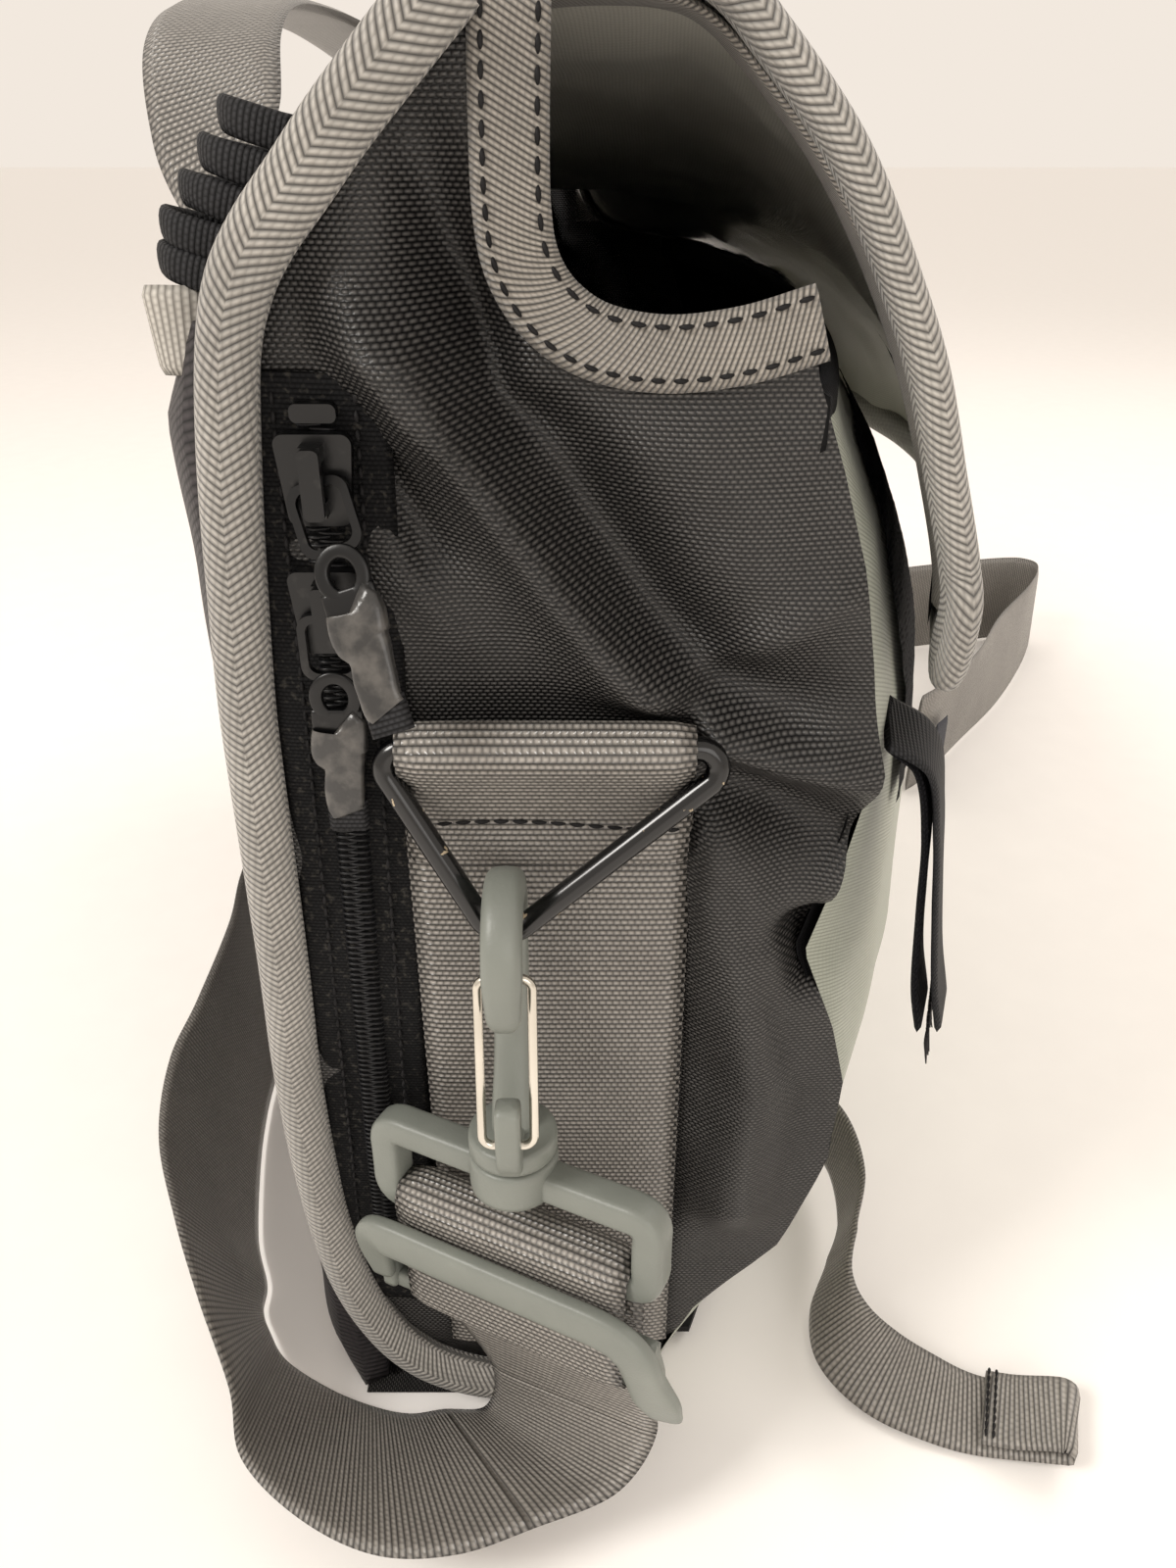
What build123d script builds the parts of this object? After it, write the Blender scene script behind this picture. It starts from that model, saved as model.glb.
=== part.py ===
from build123d import *
import os
from math import cos, radians, sin, tan

# Shoulder bag that stands on its base with the flap down and its strap round it on the table.
# +Z up, X along the bag, +Y towards the back panel, origin at the middle of the base.
# "near" is the end at -X; the far end is its mirror image.  Millimetres.

# ---- driving dimensions -------------------------------------------------
HALF_LENGTH = 184.0          # middle of the bag to the top of an end gusset
BACK_Y = 55.0                # outer face of the back panel
FRONT_Y = -45.0              # front seam, where the front panel meets a gusset
FRONT_BULGE = 42.0           # how far the middle of the front stands past its seams
TUCK = 22.0                  # how far the front runs in under the bag at its foot
TUCK_Z = 70.0
FRONT_TOP = 230.0
PANEL_HEIGHT = 242.0
EAR_HEIGHT = 278.0           # rear part of a gusset, which rises to the flap
FABRIC = 2.5                 # a doubled wall of coated nylon
SKIN = 1.5                   # a single ply
LEAN_DEG = 3.0               # a gusset leans outward towards its top
LEAN_Z = 175.0               # height at which a gusset is HALF_LENGTH from the middle

WEBBING_WIDTH = 49.0
WEBBING = 1.5                # thickness of the heavy webbing
TAPE_WIDTH = 11.0
BINDING_WIDTH = 9.0
BINDING = 4.0

HINGE_Y = 14.0               # the flap turns about the end of the crown
HINGE_Z = 285.5
FLAP_HEM_Z = 186.0
FLAP_OVERHANG = 13.0         # flap's front face past the front seam

# hardware at an end, near side
RING_WIRE = 2.0
RING_TOP = (-191.0, 180.0)   # x, z of the bar in the webbing fold
RING_LEFT_Y = 34.5           # where the legs would meet the bar, were the corners sharp
RING_RIGHT_Y = -26.3
FOLD_Y = (-16.8, 28.2)       # the webbing fold lies between the ring's bends
ANCHOR_Y = (-17.6, 31.2)
APEX = (-196.9, 14.9, 149.2) # middle of the wire at the ring's lowest bend
APEX_DROP = 2.7              # the two legs would meet this far below it
HOOK_Y = 13.4
HOOK_THICK = 6.4
EYE_R = 6.4
HOOK_BAR = 6.2
EYE = (-200.3, 149.3)        # x, z of the middle of the hook's eye
SWIVEL_X = -200.5
DISC_R = 8.0
DISC_Z = 105.2               # underside of the hook's disc
DISC_HEIGHT = 4.3
GATE_WIRE = 0.8
GATE_HALF = 4.4
GATE_PIVOT = (-210.2, 115.0)
GATE_TOP = (-205.2, 146.0)
LOOP_YAW = 26.0              # the strap loop and its slider are turned this far on the swivel
LOOP_WIDTH = 61.0
LOOP_BAR = 5.4
LOOP_THICK = 6.4
LOOP_TOP = 104.4
LOOP_BOTTOM = 80.0
TRI_TOP = 79.4
TRI_HEIGHT = 26.0
LEAD_LOW = 38.0              # where the rear ply of the lead meets the free strap
STRAP_FLAT = 34.0            # breadth on the table of the strap's stretch that lies down

ENDS = ("near", "far")
LEAN = tan(radians(LEAN_DEG))
OUTWARD = (-cos(radians(LEAN_DEG)), 0, -sin(radians(LEAN_DEG)))
SIDE = Plane(origin=(-HALF_LENGTH, 0, LEAN_Z), x_dir=(0, -1, 0), z_dir=OUTWARD)
TURNED_X = (-sin(radians(LOOP_YAW)), -cos(radians(LOOP_YAW)), 0)
TURNED_Z = (-cos(radians(LOOP_YAW)), sin(radians(LOOP_YAW)), 0)

os.makedirs("parts", exist_ok=True)


def save(part, name):
    """Label a finished piece and write it."""
    part.label = name
    export_step(part, f"parts/{name}.step")


def save_pair(part, name):
    """Write an end piece and its mirror image at the far end."""
    save(part, f"{name}_near")
    save(mirror(part, about=Plane.YZ), f"{name}_far")


def side(y, z):
    """A point on the near gusset, in the coordinates of its leaning plane."""
    return (-y, (z - LEAN_Z) / cos(radians(LEAN_DEG)))


def gusset_x(z):
    """How far out the near gusset's face is at a height."""
    return -HALF_LENGTH - (z - LEAN_Z) * LEAN


def strip(points, radius, width, plane, thickness):
    """A flat band of one width that follows a line with rounded bends."""
    with BuildPart() as band:
        with BuildSketch(plane):
            with BuildLine():
                if len(points) > 2:
                    FilletPolyline(*points, radius=radius)
                else:
                    Line(*points)
            trace(line_width=width)
        extrude(amount=thickness)
    return band.part


def bowed(front_y, back_y):
    """Outline seen from above whose front bows outward from seam to seam."""
    with BuildLine() as outline:
        ThreePointArc((-HALF_LENGTH, front_y), (0, front_y - FRONT_BULGE), (HALF_LENGTH, front_y))
        Polyline((HALF_LENGTH, front_y), (HALF_LENGTH, back_y), (-HALF_LENGTH, back_y),
                 (-HALF_LENGTH, front_y))
    return outline.line


def bowed_block(front_y, back_y, low, high):
    """An upright block with a bowed front."""
    with BuildPart() as block:
        with BuildSketch(Plane.XY.offset(low)):
            with BuildLine():
                add(bowed(front_y, back_y))
            make_face()
        extrude(amount=high - low)
    return block.part


def body_block(skin, low, high):
    """The bag's inside grown to its walls' outer face, less a number of millimetres."""
    with BuildPart() as block:
        for height, tuck in ((low, TUCK), (TUCK_Z, 0)):
            with BuildSketch(Plane.XY.offset(height)):
                with BuildLine():
                    add(bowed(FRONT_Y + tuck + skin, BACK_Y - SKIN))
                make_face()
        loft()
        add(bowed_block(FRONT_Y + skin, BACK_Y - SKIN, TUCK_Z, high))
    return block.part


def between_gussets(inset, low=0.0, high=PANEL_HEIGHT):
    """The space between the two leaning end walls."""
    with BuildPart() as space:
        with BuildSketch(Plane.XZ.offset(-200)):
            with BuildLine():
                Polyline((gusset_x(low) + inset, low), (gusset_x(high) + inset, high),
                         (-gusset_x(high) - inset, high), (-gusset_x(low) - inset, low), close=True)
            make_face()
        extrude(amount=400)
    return space.part


def box_between(low, high):
    """A block given by its lowest and highest corners."""
    size = [top - bottom for bottom, top in zip(low, high)]
    middle = [(top + bottom) / 2 for bottom, top in zip(low, high)]
    with BuildPart() as block:
        with Locations(tuple(middle)):
            Box(*size)
    return block.part


# ---- the bag's panels ----------------------------------------------------
def back_panels():
    """Outer fabric, foam and lining of the padded back."""
    foam_in = BACK_Y - SKIN - 5.0
    layers = (("back_panel", BACK_Y - SKIN, BACK_Y, 0.3, 0.0, PANEL_HEIGHT),
              ("back_foam", foam_in, BACK_Y - SKIN, 12, 6, PANEL_HEIGHT - 8),
              ("back_lining", foam_in - SKIN, foam_in, FABRIC + 0.3, 4, PANEL_HEIGHT))
    for name, inner, outer, inset, low, high in layers:
        with BuildPart() as layer:
            add(box_between((-250, inner, low), (250, outer, high)))
            add(between_gussets(inset), mode=Mode.INTERSECT)
        save(layer.part, name)
    return foam_in - SKIN


def front_panel():
    """The bowed front: upright, and running in under the bag at its foot."""
    with BuildPart() as panel:
        add(body_block(0, FABRIC, FRONT_TOP))
        add(body_block(FABRIC, FABRIC, FRONT_TOP), mode=Mode.SUBTRACT)
        add(between_gussets(FABRIC + 0.3), mode=Mode.INTERSECT)
        add(box_between((-250, 0, 0), (250, 80, 300)), mode=Mode.SUBTRACT)
    save(panel.part, "front_panel")


def base_panels(inside_back):
    """The base and the stiff board that lies in it."""
    with BuildPart() as base:
        add(bowed_block(FRONT_Y + TUCK, BACK_Y - SKIN, 0, FABRIC))
        add(between_gussets(0.3), mode=Mode.INTERSECT)
    save(base.part, "base_panel")
    with BuildPart() as board:
        add(bowed_block(FRONT_Y + TUCK + 8, inside_back - 4, FABRIC, FABRIC + 2))
        add(between_gussets(14), mode=Mode.INTERSECT)
    save(board.part, "base_board")


def gussets(inside_back):
    """End walls: the rear ear rises to the flap, the front part is cut down."""
    rear = inside_back - 0.3
    front = FRONT_Y + FABRIC + 0.4
    top = PANEL_HEIGHT - 2
    with BuildPart() as gusset:
        with BuildSketch(SIDE) as outline:
            with BuildLine():
                Polyline(side(front + TUCK, FABRIC + 0.5), side(front, TUCK_Z), side(front, top), side(5, top),
                         side(5, EAR_HEIGHT), side(24, EAR_HEIGHT), side(rear, PANEL_HEIGHT + 8),
                         side(rear, FABRIC + 0.5), close=True)
            make_face()
            corner = outline.vertices().sort_by_distance(SIDE.from_local_coords(side(5, top)))[0]
            fillet(corner, 12)
        extrude(amount=-FABRIC)
    save_pair(gusset.part, "gusset")
    tape_path = (side(front + 0.5, top - 6), side(11, top - 6), side(11, EAR_HEIGHT - 0.5))
    save_pair(strip(tape_path, 14, TAPE_WIDTH, SIDE, 1.2), "gusset_tape")


def bindings():
    """Herringbone tape rolled over the rear edge of each end, up to the flap."""
    path = (side(50, 4), side(53.2, 60), side(54, 150), side(51, 236), side(38, 262), side(HINGE_Y + 7, 274))
    save_pair(strip(path, 20, BINDING_WIDTH, SIDE, BINDING), "edge_binding")


def crown_panel():
    """Root of the flap: it bends forward from the back panel to the hinge line."""
    with BuildPart() as crown:
        with BuildSketch(Plane.YZ.offset(4 - HALF_LENGTH)):
            with BuildLine():
                Polyline((BACK_Y, PANEL_HEIGHT + 0.3), (BACK_Y - 5, 262), (36, 275), (HINGE_Y + 0.4, HINGE_Z),
                         (HINGE_Y + 0.4, HINGE_Z - 2), (35, 272.6), (BACK_Y - 7, 260),
                         (BACK_Y - 2, PANEL_HEIGHT + 0.3), close=True)
            make_face()
        extrude(amount=2 * (HALF_LENGTH - 4))
    save(crown.part, "crown_panel")


# ---- flap ----------------------------------------------------------------
def flap_block(skin, half_length, hem):
    """The space under the flap, shrunk by a number of millimetres of cloth."""
    with BuildPart() as block:
        add(bowed_block(FRONT_Y - FLAP_OVERHANG + skin, HINGE_Y, hem, HINGE_Z + 10))
        with BuildSketch(Plane.YZ.offset(-half_length)):
            with BuildLine():
                Polyline((HINGE_Y, 0), (HINGE_Y, HINGE_Z - skin), (-22, HINGE_Z - 2 - skin),
                         (-66 + 0.5 * skin, 260 - 0.8 * skin), (-120 + 0.5 * skin, 215 - 0.8 * skin),
                         (-120 + 0.5 * skin, 0), close=True)
            make_face()
        extrude(amount=2 * half_length, mode=Mode.INTERSECT)
    return block.part


def flap_layer(outer, inner, half_length, hem):
    """One layer of the flap, between two depths below its outer surface."""
    with BuildPart() as layer:
        add(flap_block(outer, half_length, hem))
        add(flap_block(inner, half_length + 1, hem - 1), mode=Mode.SUBTRACT)
        add(box_between((-half_length - 2, HINGE_Y - 0.2, hem - 2),
                        (half_length + 2, HINGE_Y + 2, HINGE_Z + 2)), mode=Mode.SUBTRACT)
    return layer.part


def flap():
    """Outer cloth, lining, edge binding and the hook patches under the flap."""
    inset = BINDING_WIDTH - 1
    cloth_half = HALF_LENGTH + BINDING - inset
    save(flap_layer(0.6, 0.6 + SKIN, cloth_half, FLAP_HEM_Z + inset), "flap_outer")
    save(flap_layer(0.6 + SKIN, 0.6 + 2 * SKIN, cloth_half, FLAP_HEM_Z + inset), "flap_lining")
    with BuildPart() as binding:
        add(flap_layer(0, BINDING, HALF_LENGTH + BINDING, FLAP_HEM_Z))
        add(box_between((-cloth_half, -150, FLAP_HEM_Z + inset), (cloth_half, HINGE_Y + 3, HINGE_Z + 5)),
            mode=Mode.SUBTRACT)
    save(binding.part, "flap_binding")
    depth = 0.6 + 2 * SKIN
    patches = flap_layer(depth, depth + 1.2, cloth_half, FLAP_HEM_Z + inset + 2)
    with BuildPart() as hook_patches:
        for low, high in ((-168, -72), (72, 168)):
            add(box_between((low, -150, 190), (high, -40, 236)))
        add(patches, mode=Mode.INTERSECT)
    save(hook_patches.part, "flap_hook_patches")
    with BuildPart() as loop_patches:
        for low, high in ((-160, -80), (80, 160)):
            add(box_between((low, -150, 150), (high, -30, 232)))
        add(bowed_block(FRONT_Y - 1.2, 0, 140, FRONT_TOP - 4), mode=Mode.INTERSECT)
        add(bowed_block(FRONT_Y, 10, 130, 250), mode=Mode.SUBTRACT)
    save(loop_patches.part, "front_loop_patches")


# ---- zip -------------------------------------------------------------------
ZIP_TOP = (38.0, 232.0)
ZIP_BOTTOM = (43.3, 50.0)
ZIP_SLOPE = (ZIP_BOTTOM[0] - ZIP_TOP[0]) / (ZIP_TOP[1] - ZIP_BOTTOM[1])
SLIDERS = {"upper": 222.0, "lower": 202.0}      # height of each slider's middle
PULLER_LEAN = {"upper": 18.0, "lower": 0.0}     # degrees that a puller hangs away from the binding
PULLER_TILT = {"upper": 22.0, "lower": 1.5}     # degrees that it stands away from the gusset


def zip_y(z):
    """Middle of the zip at a height."""
    return ZIP_TOP[0] + (ZIP_TOP[1] - z) * ZIP_SLOPE


def zip_track():
    """Zip tape, the two rows of coil and the stops at its ends."""
    top, bottom = side(*ZIP_TOP), side(*ZIP_BOTTOM)
    with BuildPart() as tape:
        with BuildSketch(SIDE):
            with BuildLine():
                Line(top, bottom)
            trace(line_width=9.4)
        extrude(amount=0.7)
    save(tape.part, "zip_tape")
    with BuildPart() as coil:
        with BuildSketch(SIDE.offset(0.7)):
            with BuildLine():
                Line(side(zip_y(229), 229), side(zip_y(53), 53))
            trace(line_width=5.6)
        extrude(amount=1.3)
    save(coil.part, "zip_coil")
    with BuildPart() as stops:
        for height in (231.0, 51.0):
            with BuildSketch(SIDE.offset(0.7)):
                with Locations(side(zip_y(height), height)):
                    RectangleRounded(6.5, 2.6, 1.0)
            extrude(amount=2.2)
    save(stops.part, "zip_stops")


def zip_slider(name):
    """Slider body: a tapered cap over the coil and a bridge for the puller."""
    height = SLIDERS[name]
    across, up = side(zip_y(height), height)
    with BuildPart() as body:
        with BuildSketch(SIDE.offset(2.2)) as cap:
            with BuildLine():
                Polyline((across - 5.6, up + 6.5), (across + 5.6, up + 6.5), (across + 4.4, up - 6.5),
                         (across - 4.4, up - 6.5), close=True)
            make_face()
            fillet(cap.vertices(), 1.5)
        extrude(amount=2.0)
        with BuildSketch(SIDE.offset(4.2)):
            with Locations((across, up + 4.2), (across, up - 3.6)):
                Rectangle(3.0, 2.2)
        extrude(amount=2.4)
        with BuildSketch(SIDE.offset(6.6)):
            with Locations((across, up + 0.3)):
                RectangleRounded(3.0, 10.0, 0.9)
        extrude(amount=1.4)
    save(body.part, f"slider_{name}")


def puller(name):
    """Wire bail, tab with its hole, shrunk sleeve and webbing end of one puller."""
    height = SLIDERS[name]
    across, up = side(zip_y(height), height)
    pivot = SIDE.from_local_coords((across, up - 0.2, 5.3))
    lean, tilt = radians(PULLER_LEAN[name]), radians(PULLER_TILT[name])
    width_way = SIDE.x_dir * cos(lean) + SIDE.y_dir * sin(lean)
    up_way = (SIDE.y_dir * cos(lean) - SIDE.x_dir * sin(lean)) * cos(tilt) - SIDE.z_dir * sin(tilt)
    turned = Plane(origin=pivot, x_dir=width_way, z_dir=width_way.cross(up_way))
    with BuildPart() as bail:
        with BuildSketch(turned.offset(-0.6)):
            with Locations((0, -4.7)):
                RectangleRounded(9.2, 10.6, 2.4)
                RectangleRounded(6.8, 8.2, 1.6, mode=Mode.SUBTRACT)
        extrude(amount=1.2)
    save(bail.part, f"bail_{name}")
    with BuildPart() as tab:
        with BuildSketch(turned.offset(-0.6)):
            with Locations((0, -14.5)):
                RectangleRounded(8.2, 8.8, 2.0)
        extrude(amount=1.8)
    save(tab.part, f"puller_tab_{name}")
    with BuildPart() as sleeve:
        with BuildSketch(turned.offset(-0.9)):
            with Locations((0, -21.4)):
                RectangleRounded(8.4, 5.0, 1.8)
            with Locations((0, -27.4)):
                RectangleRounded(6.2, 9.0, 1.0)
        extrude(amount=2.6)
    save(sleeve.part, f"puller_sleeve_{name}")
    with BuildPart() as end:
        with BuildSketch(turned.offset(-0.6)):
            with Locations((0, -33.9)):
                Rectangle(6.4, 4.0)
        extrude(amount=1.8)
    save(end.part, f"puller_end_{name}")


# ---- webbing sewn to the gussets -------------------------------------------
def anchors():
    """Webbing strip on each gusset and the fold at its top that holds the ring."""
    low_y, high_y = ANCHOR_Y
    with BuildPart() as strip_part:
        with BuildSketch(SIDE):
            with BuildLine():
                Polyline(side(low_y, 22), side(low_y, 168), side(high_y, 168), side(high_y, 22), close=True)
            make_face()
        extrude(amount=WEBBING)
    save_pair(strip_part.part, "anchor_webbing")
    bar_x, bar_z = RING_TOP
    outer = RING_WIRE + 0.45 + WEBBING
    with BuildPart() as fold:
        with BuildSketch(Plane.XZ.offset(-FOLD_Y[1])):
            with BuildLine():
                Polyline((bar_x - outer, bar_z), (bar_x + outer, bar_z), (gusset_x(168.5) - 0.1, 168.5),
                         (gusset_x(168.5) - 3.2, 168.5), close=True)
            make_face()
            with Locations((bar_x, bar_z)):
                Circle(outer)
                Circle(RING_WIRE + 0.45, mode=Mode.SUBTRACT)
        extrude(amount=FOLD_Y[1] - FOLD_Y[0])
    save_pair(fold.part, "anchor_loop")


# ---- strap hardware ----------------------------------------------------------
def ring():
    """Triangle ring of round wire, its top bar in the webbing fold."""
    with BuildPart() as wire:
        with BuildLine() as path:
            FilletPolyline((RING_TOP[0], RING_LEFT_Y, RING_TOP[1]), (APEX[0], APEX[1], APEX[2] - APEX_DROP),
                           (RING_TOP[0], RING_RIGHT_Y, RING_TOP[1]), radius=(3.2, 5.0, 3.2),
                           close=True)
        with BuildSketch(Plane(origin=path.line @ 0, z_dir=path.line % 0)):
            Circle(RING_WIRE)
        sweep()
    save_pair(wire.part, "triangle_ring")


def snap_hook():
    """Plastic hook: straight spine, round eye, nose, swivel disc and the gate's lug."""
    eye_x, eye_z = EYE
    outer = EYE_R + HOOK_BAR
    with BuildPart() as hook:
        with BuildSketch(Plane.XZ.offset(-HOOK_Y)):
            with BuildLine():
                ThreePointArc((eye_x + outer, eye_z), (eye_x, eye_z + outer), (eye_x - outer, eye_z))
                Line((eye_x - outer, eye_z), (eye_x - outer + 1.2, 139.4))
                Line((eye_x - outer + 1.2, 139.4), (eye_x - EYE_R - 0.8, 138.8))
                Line((eye_x - EYE_R - 0.8, 138.8), (eye_x - EYE_R, eye_z))
                ThreePointArc((eye_x - EYE_R, eye_z), (eye_x, eye_z + EYE_R), (eye_x + EYE_R, eye_z))
                Line((eye_x + EYE_R, eye_z), (eye_x + EYE_R, 126))
                Line((eye_x + EYE_R, 126), (SWIVEL_X + 1.5, 113))
                Line((SWIVEL_X + 1.5, 113), (SWIVEL_X - 5, DISC_Z + 3))
                Line((SWIVEL_X - 5, DISC_Z + 3), (SWIVEL_X + 5.5, DISC_Z + 3))
                Line((SWIVEL_X + 5.5, DISC_Z + 3), (eye_x + outer, 124))
                Line((eye_x + outer, 124), (eye_x + outer, eye_z))
            make_face()
        extrude(amount=HOOK_THICK / 2, both=True)
        with BuildSketch(Plane.XY.offset(DISC_Z)):
            with Locations((SWIVEL_X, HOOK_Y)):
                Circle(DISC_R)
        extrude(amount=DISC_HEIGHT)
        add(box_between((-212.6, HOOK_Y - 2.3, 110.2), (-206.5, HOOK_Y + 2.3, 123.5)))
        add(box_between((-208.4, HOOK_Y - 2.3, 107), (-204.5, HOOK_Y + 2.3, 113)))
        with Locations(Plane(origin=(GATE_PIVOT[0], HOOK_Y, GATE_PIVOT[1]), z_dir=(0, 1, 0))):
            Cylinder(GATE_WIRE + 0.08, 20, mode=Mode.SUBTRACT)
    save_pair(hook.part, "snap_hook")


def wire_gate():
    """Sprung wire that closes the eye, pivoting in the hook's lug."""
    pivot_x, pivot_z = GATE_PIVOT
    top_x, top_z = GATE_TOP
    with BuildPart() as gate:
        with BuildLine() as path:
            FilletPolyline((pivot_x, HOOK_Y + GATE_HALF, pivot_z), (top_x, HOOK_Y + GATE_HALF, top_z),
                           (top_x, HOOK_Y - GATE_HALF, top_z), (pivot_x, HOOK_Y - GATE_HALF, pivot_z),
                           radius=1.9, close=True)
        with BuildSketch(Plane(origin=path.line @ 0, z_dir=path.line % 0)):
            Circle(GATE_WIRE)
        sweep()
    save_pair(gate.part, "wire_gate")


def turned_plane(depth=0.0, height=0.0):
    """Upright plane on the swivel axis, turned with the strap loop."""
    return Plane(origin=(SWIVEL_X, HOOK_Y, height), x_dir=TURNED_X, z_dir=TURNED_Z).offset(depth)


def strap_loop():
    """Rectangular loop with the barrel that turns under the hook's disc."""
    middle = (LOOP_TOP + LOOP_BOTTOM) / 2 - 0.8
    height = LOOP_TOP - LOOP_BOTTOM - 1.6
    with BuildPart() as loop:
        with BuildSketch(turned_plane(-LOOP_THICK / 2, middle)):
            RectangleRounded(LOOP_WIDTH, height, 4.5)
            RectangleRounded(LOOP_WIDTH - 2 * LOOP_BAR, height - 2 * LOOP_BAR, 1.6, mode=Mode.SUBTRACT)
        extrude(amount=LOOP_THICK)
        with BuildSketch(Plane.XY.offset(LOOP_TOP - 7.6)):
            with Locations((SWIVEL_X, HOOK_Y)):
                Circle(DISC_R + 0.2)
        extrude(amount=7.6 + DISC_Z - LOOP_TOP - 0.3)
    save_pair(loop.part, "strap_loop")


def strap_slider():
    """Three-bar slider on the strap, its foot drawn out into a tail to pull on."""
    low = TRI_TOP - TRI_HEIGHT
    half = LOOP_WIDTH / 2 - 0.5
    with BuildPart() as slider:
        for outer in (-1, 1):
            with BuildSketch(turned_plane(-1.5)):
                with BuildLine():
                    Polyline((outer * half, TRI_TOP - 4), (outer * (half - 3), TRI_TOP), (outer * 26, TRI_TOP),
                             (outer * 26, low), (outer * (half + 3), low - 3), (outer * (half + 1), low + 8),
                             close=True)
                make_face()
            extrude(amount=10.0)
        with BuildSketch(turned_plane(5.6)):
            with Locations((0, TRI_TOP - 3.4)):
                Rectangle(53, 6.8)
        extrude(amount=3.0)
        with BuildSketch(turned_plane(-1.5)):
            with Locations((0, TRI_TOP - 13), (0, low + 4)):
                Rectangle(53, 4.6)
        extrude(amount=3.4)
    save_pair(slider.part, "strap_slider")


def strap_lead():
    """Strap end folded over the loop's lower bar; both plies hang through the slider."""
    half = WEBBING_WIDTH / 2
    inner = LOOP_THICK / 2 + 0.3
    outer = inner + WEBBING
    crest = LOOP_BOTTOM + LOOP_BAR + 0.5
    across = Plane(origin=(SWIVEL_X, HOOK_Y, 0), x_dir=TURNED_Z, z_dir=[-value for value in TURNED_X])
    with BuildPart() as lead:
        with BuildSketch(across):
            with BuildLine():
                Polyline((-outer, LEAD_LOW), (-outer, crest), (-inner, crest + WEBBING), (inner, crest + WEBBING),
                         (outer, crest), (outer, LEAD_LOW + 9), (inner, LEAD_LOW + 9), (inner, crest),
                         (-inner, crest), (-inner, LEAD_LOW), close=True)
            make_face()
        extrude(amount=half, both=True)
    save_pair(lead.part, "strap_lead")


# ---- straps that lie on the table, handle and small trim ----------------------
def shoulder_strap():
    """Strap from end to end: flat under the near slider, on edge round the back, folded in front."""
    table = Plane.XY.offset(0.2)
    flat = ((-194, -14), (-226, 14), (-220, 54), (-192, 84))
    back = ((-168, 88), (-130, 104), (-40, 116), (70, 114), (170, 104), (238, 62), (262, 0), (282, -90),
            (322, -190), (332, -262))
    front = ((324, -268), (262, -240), (190, -196), (128, -152))
    with BuildPart() as strap:
        add(strip(flat, 24, STRAP_FLAT, table, 2.0))
        add(strip(back, 10, 2.4, table, WEBBING_WIDTH + 1))
        add(strip(front, 10, 2.4, table, WEBBING_WIDTH + 1))
    save(strap.part, "shoulder_strap")
    label = strip(((131.7, -157.1), (141.5, -164.0)), 0, 1.2, Plane.XY.offset(8), 26)
    save(label, "strap_label")


def tail_strap():
    """Narrow webbing that leaves the front lower corner, loops and lies on the table."""
    with BuildPart() as tail:
        add(strip(((-166, -56), (-176, -82), (-190, -112)), 24, 18, Plane.XY.offset(0.2), 2.0))
        add(box_between((-150, -78, 0.2), (-112, -64, 24)))
    save(tail.part, "tail_strap")


def grab_handle():
    """Webbing handle sewn to the top of the back panel."""
    path = ((-150, 236), (-132, 268), (-50, 294), (50, 294), (132, 268), (150, 236))
    with BuildPart() as handle:
        add(strip(path, 22, 2.4, Plane.XZ.offset(-BACK_Y - 0.1), -22))
        for middle in (-150, 150):
            add(box_between((middle - 12, BACK_Y + 0.1, 206), (middle + 12, BACK_Y + 1.7, 240)))
    save(handle.part, "grab_handle")


def small_trim():
    """Hook-and-loop tab at the front seam, elastic and tag behind the back binding."""
    for name, start in (("side_tab_loop", -59.6), ("side_tab_hook", -57.8)):
        with BuildPart() as ply:
            with BuildSketch(Plane.XZ.offset(-start)):
                with Locations((13 - HALF_LENGTH, 150)):
                    Rectangle(20, 58)
            extrude(amount=1.6)
        save(ply.part, name)
    save(box_between((4 - HALF_LENGTH, BACK_Y + 0.1, 236), (20 - HALF_LENGTH, BACK_Y + 8, 256)), "back_elastic")
    save(box_between((3 - HALF_LENGTH, BACK_Y + 0.1, 222), (12 - HALF_LENGTH, BACK_Y + 7, 234)), "back_tag")


inside_back_y = back_panels()
front_panel()
base_panels(inside_back_y)
gussets(inside_back_y)
bindings()
crown_panel()
flap()
zip_track()
for slider_name in SLIDERS:
    zip_slider(slider_name)
    puller(slider_name)
anchors()
ring()
snap_hook()
wire_gate()
strap_loop()
strap_slider()
strap_lead()
shoulder_strap()
tail_strap()
grab_handle()
small_trim()
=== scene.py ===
from math import cos, pi, radians, sin, tan

import bpy
import numpy as np
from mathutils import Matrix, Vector, noise


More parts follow.
